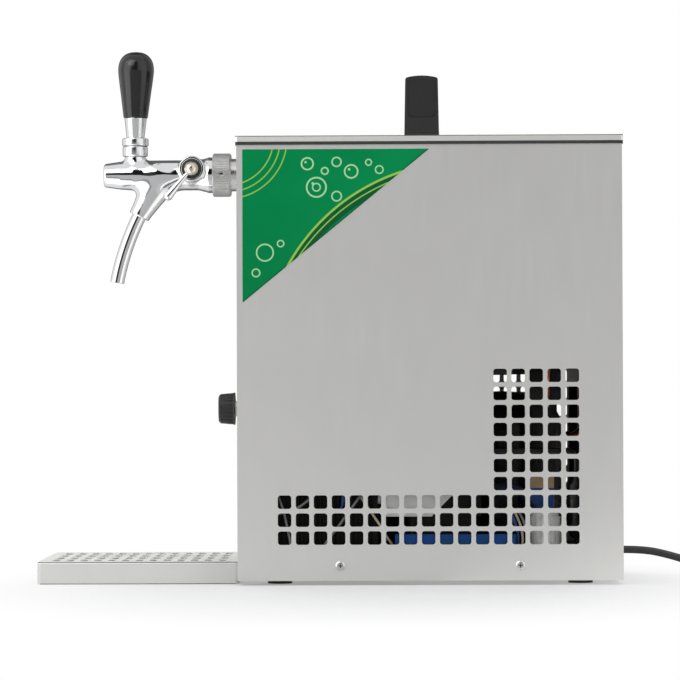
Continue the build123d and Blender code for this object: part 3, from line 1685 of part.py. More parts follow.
# Bushing of the mains lead
bushing_reach = 8.0
bushing_inside = 9.0
bushing_tip = 4.6
cord_bushing = turned(
    [
        (0, -bushing_inside),
        (bushing_radius + 1.2, -bushing_inside),
        (bushing_radius + 1.2, -2 * sheet),
        (bushing_radius - running, -2 * sheet),
        (bushing_radius - running, 0),
        (bushing_radius + 1.5, 0),
        (bushing_radius + 1.5, 1.5),
        (bushing_radius - 1.5, 2.5),
        (bushing_tip, bushing_reach),
        (0, bushing_reach),
    ],
    (rear_x, cord_y, cord_exit_height),
    (1, 0, 0),
)
keep(cord_bushing, "cord_bushing")

# Mains lead: a free stretch down to the floor, a coil of the rest, and the plug beside it
cord_radius = cord_diameter / 2
cord_start_x = rear_x + bushing_reach
coil_place = (392.0, 0.0)
coil_turn_radii = (42.5, 35.5, 28.5)
coil_layers = 2
coil_high = coil_layers * cord_diameter
plug_x = coil_place[0] + coil_turn_radii[0]
plug_axis_z = 19.5
plug_start_y = -62.0
lead_route = [
    (cord_start_x, cord_y, cord_exit_height),
    (cord_start_x + 20, cord_y, cord_exit_height),
    (cord_start_x + 42, cord_y + 0.8, cord_exit_height - 5.5),
    (cord_start_x + 66, cord_y + 1.7, cord_exit_height - 13.5),
    (cord_start_x + 90, cord_y + 2.3, cord_radius + 0.6),
    (cord_start_x + 110, cord_y + 2.5, cord_radius),
    (coil_place[0], coil_place[1] + coil_turn_radii[0], cord_radius),
]
tail_route = [
    (plug_x, 6.0, coil_high - cord_radius),
    (plug_x + 0.5, -15.0, coil_high - cord_radius + 1.2),
    (plug_x, -38.0, plug_axis_z),
    (plug_x, plug_start_y, plug_axis_z),
]


def route_radii(route):
    """The largest arc that each corner's two runs allow, at 0.45 of the shorter run."""
    points = [Vector(*point) for point in route]
    radii = []
    for before, corner, after in zip(points, points[1:], points[2:]):
        turn = radians((corner - before).get_angle(after - corner))
        shorter = min((corner - before).length, (after - corner).length)
        radii.append(0.45 * shorter / tan(turn / 2))
    return radii


for route in (lead_route, tail_route):
    print("cord arcs", [round(radius, 1) for radius in route_radii(route)])
lead = tube(lead_route, route_radii(lead_route), cord_radius)
tail = tube(tail_route, route_radii(tail_route), cord_radius)
with BuildPart() as power_cord:
    add([lead.part, tail.part])
keep(power_cord, "power_cord")

with BuildPart() as cord_coil:
    with BuildSketch(Plane.XY):
        with Locations(coil_place):
            Circle(coil_turn_radii[0] + cord_radius)
            Circle(coil_turn_radii[-1] - cord_radius, mode=Mode.SUBTRACT)
    extrude(amount=coil_high)
keep(cord_coil, "cord_coil")

# Plug with an earthed round body, lying on its side
plug_relief = 26.0
plug_body = 34.0
plug_pin_radius = 2.4
plug_pin_length = 19.0
plug_pin_spacing = 19.0
plug_blank = turned(
    [
        (0, 0),
        (cord_radius + 1.0, 0),
        (cord_radius + 3.0, plug_relief),
        (plug_axis_z * 0.62, plug_relief + 3),
        (plug_axis_z - 2.5, plug_relief + 12),
        (plug_axis_z, plug_relief + plug_body - 10),
        (plug_axis_z, plug_relief + plug_body - 1),
        (plug_axis_z - 1, plug_relief + plug_body),
        (0, plug_relief + plug_body),
    ],
    (plug_x, plug_start_y, plug_axis_z),
    (0, -1, 0),
)
with BuildPart() as plug:
    add(plug_blank.part)
    with BuildSketch(Plane.XZ.offset(-plug_start_y + plug_relief + plug_body)):
        with Locations((plug_x, plug_axis_z)):
            with GridLocations(plug_pin_spacing, 0, 2, 1):
                Circle(plug_pin_radius)
    extrude(amount=plug_pin_length)
keep(plug, "plug")

turn_lengths = sum(2 * pi * radius for radius in coil_turn_radii) * coil_layers
lead_length = sum(part.part.volume for part in (lead, tail)) / (pi * cord_radius**2)
print("cord length", round(lead_length + turn_lengths), "free stretch", round(lead_length))
print("front_x", front_x, "rear_x", rear_x, "casing_x", casing_x, "total", total_length)
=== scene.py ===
import math
import bmesh
import bpy
import numpy as np
from mathutils import Matrix, Vector


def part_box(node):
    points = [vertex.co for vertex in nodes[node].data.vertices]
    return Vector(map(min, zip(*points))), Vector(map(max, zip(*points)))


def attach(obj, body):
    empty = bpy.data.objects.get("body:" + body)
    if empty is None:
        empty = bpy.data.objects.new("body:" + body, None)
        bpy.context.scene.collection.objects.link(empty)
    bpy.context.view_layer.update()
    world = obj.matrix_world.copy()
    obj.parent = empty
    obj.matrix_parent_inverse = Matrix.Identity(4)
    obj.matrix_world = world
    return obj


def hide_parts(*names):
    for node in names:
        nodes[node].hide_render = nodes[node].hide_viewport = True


# Counter-top beer cooler with a compensator tap. Metres, +Z up, the tap faces -X.
# Each piece has a dictionary of its sizes beside its code; lengths there are millimetres.
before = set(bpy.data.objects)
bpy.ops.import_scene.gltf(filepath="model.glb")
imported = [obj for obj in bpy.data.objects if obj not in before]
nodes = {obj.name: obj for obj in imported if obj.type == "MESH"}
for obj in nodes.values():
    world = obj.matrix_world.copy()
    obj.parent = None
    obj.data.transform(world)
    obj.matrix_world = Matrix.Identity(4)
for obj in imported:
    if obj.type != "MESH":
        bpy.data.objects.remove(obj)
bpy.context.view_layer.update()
mm = 0.001
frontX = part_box("front_panel")[0][0] / mm  # the casing's front face
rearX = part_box("rear_panel")[1][0] / mm  # the casing's rear face
casingX = (frontX + rearX) / 2
sideY = 115.0


# Building helpers
def place(point):
    # Millimetres to a vector in metres.
    return Vector([value * mm for value in point])


def putPiece(name, data, look, body):
    # A new object for a mesh or a curve, with its material, riding on a body if there is one.
    data.materials.append(look)
    piece = bpy.data.objects.new(name, data)
    bpy.context.collection.objects.link(piece)
    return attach(piece, body) if body else piece


def putMesh(name, mesh, look, body, smooth=True):
    # A bmesh as a piece.
    data = bpy.data.meshes.new(name)
    mesh.to_mesh(data)
    mesh.free()
    for polygon in data.polygons:
        polygon.use_smooth = smooth
    return putPiece(name, data, look, body)


def crease(piece, angle=35):
    # Edges sharper than the angle stay sharp under smooth shading.
    piece.data.set_sharp_from_angle(angle=math.radians(angle))
    return piece


def axisFrame(origin, along):
    # A matrix in metres whose Z runs along a direction, from an origin in millimetres.
    turn = Vector(along).to_track_quat("Z", "Y").to_matrix().to_4x4()
    return Matrix.Translation(place(origin)) @ turn


def softened(profile, radius, steps=4):
    # A profile of (radius, height) points, its inner corners rounded.
    points = [Vector(point) for point in profile]
    rounded = [points[0]]
    for before, corner, after in zip(points, points[1:], points[2:]):
        shorter = min((before - corner).length, (after - corner).length)
        reach = min(radius, shorter * 0.45)  # so that two neighbours never meet
        start = corner + (before - corner).normalized() * reach
        end = corner + (after - corner).normalized() * reach
        for step in range(steps + 1):
            share = step / steps
            inner = start.lerp(corner, share)
            outer = corner.lerp(end, share)
            rounded.append(inner.lerp(outer, share))
    rounded.append(points[-1])
    return rounded


def lathe(name, profile, origin, along, look, body, easing, turns=96, ripple=None):
    # A turned piece: (radius, height) points in millimetres round an axis, corners eased.
    matrix = axisFrame(origin, along)
    mesh = bmesh.new()
    rings = []
    for radius, height in softened(profile, easing):
        if radius < 1e-6:
            rings.append([mesh.verts.new(matrix @ Vector((0, 0, height * mm)))])
            continue
        ring = []
        for step in range(turns):
            angle = 2 * math.pi * step / turns
            reach = radius if ripple is None else ripple(radius, angle)
            spot = Vector((math.cos(angle) * reach, math.sin(angle) * reach, height)) * mm
            ring.append(mesh.verts.new(matrix @ spot))
        rings.append(ring)
    for low, high in zip(rings, rings[1:]):
        for step in range(turns):
            after = (step + 1) % turns
            if len(low) == 1 and len(high) == 1:
                break
            if len(low) == 1:
                mesh.faces.new((low[0], high[after], high[step]))
            elif len(high) == 1:
                mesh.faces.new((low[step], low[after], high[0]))
            else:
                mesh.faces.new((low[step], low[after], high[after], high[step]))
    bmesh.ops.recalc_face_normals(mesh, faces=mesh.faces)
    return putMesh(name, mesh, look, body)


def roundedBlock(mesh, low, high, bevel):
    # Adds a box with eased edges to a bmesh; corners in millimetres.
    low, high = place(low), place(high)
    made = bmesh.ops.create_cube(mesh, size=1.0)["verts"]
    for vertex in made:
        vertex.co = (low + high) / 2 + vertex.co * (high - low)  # axis by axis
    edges = list({edge for vertex in made for edge in vertex.link_edges})
    if bevel:
        bmesh.ops.bevel(
            mesh, geom=edges, offset=bevel * mm, segments=2, profile=0.5, affect="EDGES"
        )


def block(name, low, high, look, body, bevel):
    # One eased box as a piece.
    mesh = bmesh.new()
    roundedBlock(mesh, low, high, bevel)
    return crease(putMesh(name, mesh, look, body))


def wire(name, points, radius, look, body, resolution):
    # A round wire or tube through points, in millimetres.
    curve = bpy.data.curves.new(name, "CURVE")
    curve.dimensions = "3D"
    curve.bevel_depth = radius * mm
    curve.bevel_resolution = resolution
    curve.use_fill_caps = True
    line = curve.splines.new("NURBS")
    line.points.add(len(points) - 1)
    for spot, point in zip(line.points, points):
        spot.co = (*place(point), 1)
    line.order_u = 3
    line.use_endpoint_u = True
    line.resolution_u = 8
    return putPiece(name, curve, look, body)


# Camera: level with the lower half of the side panel, far off
camera = {
    "x": 59.3,
    "y": -3240.0,
    "z": 178.2,
    "lens": 186.1,  # on a 36 mm wide sensor
    "turnLeft": 0.98,  # degrees
    "tiltUp": 0.73,
    "roll": -0.2,
}
cameraData = bpy.data.cameras.new("camera")
cameraData.lens = camera["lens"]
cameraData.sensor_width = 36
cameraData.clip_end = 60
cameraPiece = bpy.data.objects.new("camera", cameraData)
bpy.context.collection.objects.link(cameraPiece)
tilt = Matrix.Rotation(math.radians(90 + camera["tiltUp"]), 4, "X")
turn = Matrix.Rotation(math.radians(camera["turnLeft"]), 4, "Z")
roll = Matrix.Rotation(math.radians(camera["roll"]), 4, "Z")
spot = Matrix.Translation(place((camera["x"], camera["y"], camera["z"])))
cameraPiece.matrix_world = spot @ turn @ tilt @ roll
bpy.context.scene.camera = cameraPiece
bpy.context.scene.view_settings.view_transform = "Standard"
print("camera set")


# Mains lead: the free stretch, the coil of the rest and the plug beside it
cord = {
    "diameter": 7.0,
    "length": 1.6,  # metres
    "coilMiddle": (392.0, 0.0),
    "turnRadii": (42.5, 35.5, 28.5, 28.5, 35.5, 42.5, 42.5),
    "turnLayers": (0, 0, 0, 1, 1, 1, 2),
    "turns": 6.25,
    "pointsPerTurn": 16,
    "shiftPoints": 5,  # the part of a turn in which the cord moves to the next turn
    "bulge": {2: -3.5, 5: 3.5},  # sideways room it takes in the turns that climb a layer
    "lead": (
        (265.0, 40.0, 24.0), (285.0, 40.0, 24.0), (307.0, 40.8, 19.5), (331.0, 41.7, 12.0),
        (355.0, 42.3, 4.1), (375.0, 42.5, 3.5),
    ),
    "tail": ((435.0, -15.0, 17.8), (434.5, -38.0, 19.5), (434.5, -62.0, 19.5)),
}


def coilPoints():
    # Clockwise turns from the lead's side, three layers high.
    radii, layers = cord["turnRadii"], cord["turnLayers"]
    perTurn, shift = cord["pointsPerTurn"], cord["shiftPoints"]
    inside = 1 / math.cos(math.pi / perTurn)  # the spline runs inside its points
    points = []
    for step in range(int(perTurn * cord["turns"]) + 1):
        turnCount, rest = divmod(step, perTurn)
        upcoming = min(turnCount + 1, len(radii) - 1)
        share = max(0.0, (rest - perTurn + shift) / shift)
        ease = share * share * (3 - 2 * share)
        radius = radii[turnCount] * (1 - ease) + radii[upcoming] * ease
        layer = layers[turnCount] * (1 - ease) + layers[upcoming] * ease
        radius += cord["bulge"].get(turnCount, 0.0) * math.sin(math.pi * share)
        angle = math.pi / 2 - 2 * math.pi * step / perTurn
        middleX, middleY = cord["coilMiddle"]
        points.append((
            middleX + math.cos(angle) * radius * inside,
            middleY + math.sin(angle) * radius * inside,
            cord["diameter"] * (layer + 0.5),
        ))
    return points


# Shader nodes: short ways to add and join them
def feed(tree, socket, value):
    # Joins an output socket to an input, or sets the input to a plain value.
    if isinstance(value, bpy.types.NodeSocket):
        tree.links.new(value, socket)
    else:
        socket.default_value = value


def addNode(tree, kind, values=None, **settings):
    # A node with its settings; values feed its inputs, by socket name or number.
    node = tree.nodes.new(kind)
    for setting, value in settings.items():
        setattr(node, setting, value)
    for socket, value in (values or {}).items():
        feed(tree, node.inputs[socket], value)
    return node


def mathNode(tree, operation, *operands, clamp=False):
    # The result of a Math node; each operand is a number or an output socket.
    values = dict(enumerate(operands))
    return addNode(tree, "ShaderNodeMath", values, operation=operation, use_clamp=clamp).outputs[0]


def vectorNode(tree, operation, *operands):
    # The outputs of a Vector Math node; each operand is a vector or an output socket.
    values = dict(enumerate(operands))
    return addNode(tree, "ShaderNodeVectorMath", values, operation=operation).outputs


def mapRange(tree, value, low, high, start=0.0, end=1.0, smooth=False):
    # A value stretched from one range to another.
    return addNode(
        tree, "ShaderNodeMapRange", {0: value, 1: low, 2: high, 3: start, 4: end},
        interpolation_type="SMOOTHSTEP" if smooth else "LINEAR",
    ).outputs[0]


def mixColour(tree, share, first, second):
    # A colour mix; each side is a colour or an output socket.
    sides = [(*side, 1.0) if isinstance(side, tuple) else side for side in (first, second)]
    values = {0: share, 6: sides[0], 7: sides[1]}
    return addNode(tree, "ShaderNodeMix", values, data_type="RGBA").outputs[2]


def mixShader(tree, share, first, second):
    # Two shaders mixed.
    return addNode(tree, "ShaderNodeMixShader", {0: share, 1: first, 2: second}).outputs[0]


def noiseNode(tree, spot, scale, detail, roughness=0.5):
    # Cloudy noise about a spot.
    values = {"Vector": spot, "Scale": scale, "Detail": detail, "Roughness": roughness}
    return addNode(tree, "ShaderNodeTexNoise", values).outputs[0]


def bumpNode(tree, height, strength, distance):
    # A bump from a height; the distance is in millimetres.
    values = {"Height": height, "Strength": strength, "Distance": distance * mm}
    return addNode(tree, "ShaderNodeBump", values).outputs[0]


def objectSpot(tree):
    # The place on the object, in metres.
    return addNode(tree, "ShaderNodeTexCoord").outputs["Object"]


def splitAxes(tree, vector):
    # The X, Y and Z of a vector.
    return addNode(tree, "ShaderNodeSeparateXYZ", {0: vector}).outputs


def useGroup(tree, group, values=None):
    # The outputs of a group node inside a material, with its inputs set.
    return addNode(tree, "ShaderNodeGroup", values, node_tree=group).outputs


# Shader groups: masks and heights that several materials share
def socketGroup(name, inputs, outputs):
    # An empty group with what goes in, at its usual values, and the numbers that come out.
    group = bpy.data.node_groups.new(name, "ShaderNodeTree")
    for title, value in inputs.items():
        kind = "NodeSocketVector" if isinstance(value, tuple) else "NodeSocketFloat"
        group.interface.new_socket(title, in_out="INPUT", socket_type=kind).default_value = value
    for title in outputs:
        group.interface.new_socket(title, in_out="OUTPUT", socket_type="NodeSocketFloat")
    given = group.nodes.new("NodeGroupInput").outputs
    results = group.nodes.new("NodeGroupOutput").inputs
    return group, given, results


def buildBrushed():
    # Satin brushing: long fine scratches along one axis of the object.
    group, given, results = socketGroup(
        "brushedGrain", {"Stretch": (30.0, 2200.0, 2200.0)}, ("Height", "Streak")
    )
    scaled = vectorNode(group, "MULTIPLY", objectSpot(group), given["Stretch"])[0]
    feed(group, results["Height"], noiseNode(group, scaled, 1.0, 3.0, 0.6))
    feed(group, results["Streak"], noiseNode(group, scaled, 0.12, 2.0))
    return group


def buildMottle():
    # Soft uneven patches, with a finer speckle inside them.
    group, given, results = socketGroup(
        "mottle", {"Size": 60.0, "Fine": 900.0}, ("Patch", "Speckle")
    )
    spot = objectSpot(group)
    patch = noiseNode(group, spot, given["Size"], 4.0, 0.55)
    feed(group, results["Patch"], mapRange(group, patch, 0.3, 0.7, smooth=True))
    feed(group, results["Speckle"], noiseNode(group, spot, given["Fine"], 2.0))
    return group


def buildDust():
    # Dust that settles on faces turned upwards, patchy.
    group, given, results = socketGroup("dust", {"Amount": 0.3}, ("Mask",))
    normal = addNode(group, "ShaderNodeNewGeometry").outputs["Normal"]
    upward = mapRange(group, splitAxes(group, normal)[2], 0.3, 1.0, smooth=True)
    patchy = mapRange(group, noiseNode(group, objectSpot(group), 140.0, 6.0), 0.35, 0.75)
    both = mathNode(group, "MULTIPLY", upward, patchy)
    feed(group, results["Mask"], mathNode(group, "MULTIPLY", both, given["Amount"]))
    return group


def buildWear():
    # Lighter rubbed edges, broken up.
    group, given, results = socketGroup(
        "edgeWear", {"Sharpness": 0.54, "Breakup": 320.0}, ("Mask",)
    )
    pointed = addNode(group, "ShaderNodeNewGeometry").outputs["Pointiness"]
    edge = mapRange(group, pointed, given["Sharpness"], 0.62)
    grain = noiseNode(group, objectSpot(group), given["Breakup"], 3.0)
    broken = mapRange(group, grain, 0.42, 0.62)
    feed(group, results["Mask"], mathNode(group, "MULTIPLY", edge, broken, clamp=True))
    return group


brushedGroup = buildBrushed()
mottleGroup = buildMottle()
dustGroup = buildDust()
wearGroup = buildWear()
dustTone = (0.45, 0.43, 0.4)


def startMaterial(name, metallic=0.0, coat=0.0, shine=0.5):
    # A new material: itself, its node tree and its shader's inputs.
    look = bpy.data.materials.new(name)
    look.use_nodes = True
    shader = look.node_tree.nodes["Principled BSDF"].inputs
    for title, value in (
        ("Metallic", metallic), ("IOR", 1.5), ("Coat Weight", coat), ("Coat Roughness", 0.05),
        ("Specular IOR Level", shine),
    ):
        shader[title].default_value = value
    return look, look.node_tree, shader


def surface(name, plan):
    # A material from a finish: two tones, a roughness range, grain, wear and dust.
    look, tree, shader = startMaterial(
        name, plan.get("metallic", 0.0), plan.get("coat", 0.0), plan.get("shine", 0.5)
    )
    patches = useGroup(tree, mottleGroup, {"Size": plan["patch"], "Fine": plan["grain"]})
    colour = mixColour(tree, patches["Patch"], plan["colour"], plan["tone"])
    if "fleck" in plan:
        fleck = mapRange(tree, patches["Speckle"], 0.6, 0.72)
        colour = mixColour(tree, fleck, colour, plan["fleck"])
    if "wear" in plan:
        colour = mixColour(tree, useGroup(tree, wearGroup)["Mask"], colour, plan["wear"])
    if "dust" in plan:
        dusty = useGroup(tree, dustGroup, {"Amount": plan["dust"]})
        colour = mixColour(tree, dusty["Mask"], colour, dustTone)
    source, height = patches["Patch"], patches["Speckle"]
    if "stretch" in plan:
        brushed = useGroup(tree, brushedGroup, {"Stretch": plan["stretch"]})
        source, height = brushed["Streak"], brushed["Height"]
    feed(tree, shader["Base Color"], colour)
    feed(tree, shader["Roughness"], mapRange(tree, source, 0.25, 0.75, *plan["roughness"]))
    feed(tree, shader["Normal"], bumpNode(tree, height, *plan["bump"]))
    return look


def finish(colour, tone, roughness, patch, grain, bump, **extras):
    # The settings of one finish by name; a single number for a colour is a grey.
    colour, tone = [(side,) * 3 if isinstance(side, float) else side for side in (colour, tone)]
    return {
        "colour": colour, "tone": tone, "roughness": roughness, "patch": patch, "grain": grain,
        "bump": bump, **extras,
    }


# Finishes: linear colour and its second tone, the roughness range, how fine the patches and
# the grain are, the bump (strength, mm); stretch is the brushing's scale along X, Y and Z
looks = {
    "panelSteel": finish(
        (0.93, 0.925, 0.9), (0.91, 0.905, 0.88), (0.4, 0.43), 6.0, 1500.0, (0.05, 0.02),
        metallic=1.0, stretch=(3200.0, 3200.0, 160.0),
    ),
    "frontSteel": finish(
        (0.7, 0.695, 0.68), (0.66, 0.655, 0.64), (0.34, 0.42), 6.0, 1500.0, (0.06, 0.02),
        metallic=1.0, stretch=(2600.0, 2600.0, 40.0),
    ),
    "lidSteel": finish(
        (0.92, 0.915, 0.89), (0.87, 0.865, 0.84), (0.4, 0.48), 6.0, 1500.0, (0.06, 0.02),
        metallic=0.88, stretch=(40.0, 2600.0, 2600.0),
    ),
    "traySteel": finish(
        (0.62, 0.62, 0.605), (0.58, 0.58, 0.565), (0.45, 0.55), 8.0, 1500.0, (0.06, 0.02),
        metallic=0.2, stretch=(60.0, 2600.0, 2600.0),
    ),
    "grateSteel": finish(
        (0.92, 0.92, 0.91), (0.86, 0.86, 0.85), (0.42, 0.55), 30.0, 1500.0, (0.06, 0.02),
        metallic=0.4,
    ),
    # dark grey for strips of painted shade along the lid's top edge and under the grate's edge
    "paintedShadeSteel": finish(0.2, 0.17, (0.4, 0.5), 30.0, 1500.0, (0.05, 0.02), metallic=0.5),
    "zincSheet": finish(
        (0.5, 0.51, 0.52), (0.38, 0.39, 0.41), (0.35, 0.55), 90.0, 500.0, (0.1, 0.03), metallic=1.0,
        dust=0.3,
    ),
    # black for rubber parts, and for strips of painted shade under the lid's lip and along the
    # tray's foot
    "rubberAndShadeBlack": finish(
        (0.022, 0.022, 0.023), 0.03, (0.55, 0.75), 120.0, 2200.0, (0.3, 0.06), dust=0.2
    ),
    "zincScrew": finish(
        (0.74, 0.74, 0.73), (0.66, 0.66, 0.65), (0.16, 0.3), 500.0, 3000.0, (0.1, 0.01),
        metallic=1.0,
    ),
    "handlePlastic": finish(0.027, 0.023, (0.5, 0.6), 30.0, 1800.0, (0.2, 0.03), shine=0.2),
    "capPlastic": finish(0.022, 0.019, (0.42, 0.52), 50.0, 2400.0, (0.2, 0.03), shine=0.25),
    # near black for painted shade in the handle's seams and the screws' crosses, and for the printed
    # ticks
    "shadeAndPrintBlack": finish(0.005, 0.007, (0.6, 0.7), 60.0, 1900.0, (0.1, 0.02)),
    "blackPlastic": finish(
        (0.016, 0.016, 0.017), (0.022, 0.022, 0.023), (0.32, 0.46), 60.0, 1900.0, (0.18, 0.03),
        wear=(0.06, 0.06, 0.06), shine=0.3,
    ),
    "chrome": finish(
        (0.76, 0.765, 0.775), (0.73, 0.735, 0.745), (0.03, 0.06), 60.0, 700.0, (0.04, 0.02),
        metallic=1.0,
    ),
    "softChrome": finish(
        (0.76, 0.765, 0.775), (0.73, 0.735, 0.745), (0.15, 0.2), 60.0, 700.0, (0.04, 0.02),
        metallic=1.0,
    ),
    "satinSteel": finish(
        (0.68, 0.675, 0.66), (0.6, 0.595, 0.58), (0.2, 0.34), 140.0, 2400.0, (0.15, 0.02),
        metallic=1.0,
    ),
    "nutSteel": finish(
        (0.6, 0.6, 0.595), (0.5, 0.5, 0.495), (0.38, 0.5), 240.0, 2600.0, (0.2, 0.03), metallic=1.0
    ),
    "nickel": finish(
        (0.7, 0.63, 0.55), (0.62, 0.55, 0.47), (0.12, 0.26), 260.0, 1600.0, (0.1, 0.02),
        metallic=1.0,
    ),
    "whitePlastic": finish(
        (0.78, 0.77, 0.72), (0.72, 0.71, 0.66), (0.3, 0.45), 80.0, 1500.0, (0.1, 0.02)
    ),
    "knobBlack": finish(
        (0.006, 0.006, 0.007), (0.008, 0.008, 0.009), (0.16, 0.22), 60.0, 600.0, (0.03, 0.02),
        coat=0.35, shine=0.35,
    ),
    "foamShell": finish(
        (0.01, 0.01, 0.0105), (0.006, 0.006, 0.0065), (0.6, 0.8), 40.0, 700.0, (0.4, 0.3),
        shine=0.1,
    ),
    "sleeveFoam": finish(
        (0.022, 0.022, 0.023), (0.014, 0.014, 0.015), (0.4, 0.6), 60.0, 900.0, (0.3, 0.1),
        shine=0.2,
    ),
    "castAluminium": finish(
        (0.6, 0.61, 0.62), (0.48, 0.49, 0.5), (0.35, 0.55), 150.0, 1100.0, (0.35, 0.1),
        metallic=1.0, dust=0.25,
    ),
    "finBlack": finish(0.0045, 0.009, (0.4, 0.55), 70.0, 900.0, (0.15, 0.05), shine=0.12),
    "drawnSteel": finish(
        (0.7, 0.7, 0.69), (0.62, 0.62, 0.61), (0.12, 0.24), 50.0, 1400.0, (0.08, 0.02),
        metallic=1.0,
    ),
    "copper": finish(
        (0.55, 0.22, 0.11), (0.3, 0.11, 0.055), (0.2, 0.42), 70.0, 600.0, (0.1, 0.03), metallic=1.0,
        fleck=(0.16, 0.09, 0.06),
    ),
    "enamelBlack": finish(
        (0.004, 0.004, 0.0042), (0.006, 0.006, 0.0062), (0.2, 0.32), 40.0, 380.0, (0.25, 0.15),
        shine=0.2,
    ),
    "coverBeige": finish(
        (0.62, 0.46, 0.27), (0.54, 0.39, 0.22), (0.4, 0.55), 50.0, 1200.0, (0.15, 0.04)
    ),
    "capacitorGrey": finish(
        (0.55, 0.55, 0.53), (0.47, 0.47, 0.45), (0.35, 0.5), 90.0, 1500.0, (0.12, 0.03)
    ),
    "hoseBlue": finish(
        (0.004, 0.008, 0.022), (0.003, 0.006, 0.016), (0.32, 0.45), 60.0, 900.0, (0.08, 0.03),
        shine=0.2,
    ),
    "foamBlue": finish(
        (0.001, 0.034, 0.17), (0.004, 0.036, 0.1), (0.4, 0.65), 45.0, 1500.0, (0.5, 0.3),
        fleck=(0.002, 0.02, 0.09), shine=0.15,
    ),
    "fittingGrey": finish(
        (0.36, 0.37, 0.38), (0.31, 0.32, 0.33), (0.35, 0.48), 70.0, 1600.0, (0.12, 0.03)
    ),
    "colletGrey": finish(
        (0.1, 0.105, 0.115), (0.08, 0.085, 0.09), (0.3, 0.42), 70.0, 1600.0, (0.1, 0.02)
    ),
    "cordRubber": finish(
        (0.03, 0.031, 0.033), (0.04, 0.041, 0.043), (0.42, 0.58), 35.0, 1300.0, (0.15, 0.04),
        dust=0.1,
    ),
    "plugRubber": finish(
        (0.018, 0.018, 0.019), (0.024, 0.024, 0.025), (0.42, 0.55), 60.0, 1700.0, (0.2, 0.04),
        wear=(0.07, 0.07, 0.07),
    ),
    "rockerGreen": finish(
        (0.02, 0.3, 0.07), (0.015, 0.25, 0.055), (0.18, 0.28), 90.0, 900.0, (0.05, 0.02), coat=0.4
    ),
    "wireBlue": finish(
        (0.006, 0.06, 0.26), (0.005, 0.045, 0.2), (0.35, 0.5), 90.0, 1200.0, (0.08, 0.02)
    ),
    "wireGrey": finish(0.2, 0.15, (0.35, 0.5), 90.0, 1200.0, (0.08, 0.02)),
    "wireCream": finish(
        (0.46, 0.4, 0.27), (0.38, 0.33, 0.22), (0.35, 0.5), 90.0, 1200.0, (0.08, 0.02)
    ),
    "plateSilver": finish(
        (0.72, 0.72, 0.71), (0.64, 0.64, 0.63), (0.35, 0.5), 40.0, 1300.0, (0.1, 0.03),
        metallic=0.6,
    ),
}
materials = {name: surface(name, plan) for name, plan in looks.items()}

# The material of each CAD node that stays in view
nodeLooks = {
    "panelSteel": ("right_side_panel", "left_side_panel"),
    "frontSteel": ("front_panel", "rear_panel"),
    "lidSteel": ("lid",),
    "traySteel": ("drip_tray",),
    "grateSteel": ("drip_grate",),
    "zincSheet": ("base_tray", "lid_brace"),
    # the lid gasket's black is painted shade of the gap under the lid's lip; the other parts are
    # black rubber
    "rubberAndShadeBlack": ("lid_gasket", "feet", "compressor_grommets", "compensator_seal", "piston_seals"),
    "zincScrew": ("screws",),
    "handlePlastic": ("carry_handle",),
    "capPlastic": ("handle_end_caps",),
    "blackPlastic": (
        "thermostat_knob", "thermostat_body", "fan_shroud", "fan_blade", "switch_housing",
        "cord_bushing",
    ),
    "rockerGreen": ("switch_rocker",),
    "chrome": (
        "tap_body", "tap_collar", "handle_ring", "handle_ferrule", "compensator_lever",
        "spout_tube",
    ),
    "nutSteel": ("union_nut",),
    "satinSteel": ("tap_shank", "shank_lock_nut", "tap_lever", "thermostat_shaft"),
    "nickel": ("compensator_axle",),
    "whitePlastic": ("valve_piston", "compensator_cone"),
    "knobBlack": ("handle_knob",),
    "foamShell": ("block_insulation", "block_shelf"),
    "castAluminium": ("cooling_block",),
    "finBlack": ("condenser", "fan_motor", "air_pump"),
    "drawnSteel": ("beer_coil",),
    "copper": ("refrigerant_pipes", "evaporator_pipe"),
    "enamelBlack": ("compressor",),
    "coverBeige": ("terminal_cover",),
    "capacitorGrey": ("run_capacitor",),
    "hoseBlue": ("air_hose",),
    "foamBlue": ("foam_strip",),
    "fittingGrey": ("beer_fitting", "air_fitting"),
    "colletGrey": ("beer_collet", "air_collet"),
    "cordRubber": ("power_cord", "cord_coil"),
    "plugRubber": ("plug",),
}
for look, names in nodeLooks.items():
    for name in names:
        piece = nodes[name]
        piece.data.materials.clear()
        piece.data.materials.append(materials[look])
        for polygon in piece.data.polygons:
            polygon.material_index = 0
print("finishes made:", len(materials))

# The cord's own curve, from its exit through the coil to the plug
cordPoints = [*cord["lead"], *coilPoints(), *cord["tail"]]
cordPiece = wire(
    "mainsLead", cordPoints, cord["diameter"] / 2, materials["cordRubber"], "cabinet", 6
)
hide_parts("power_cord", "cord_coil")
print("mains lead laid")


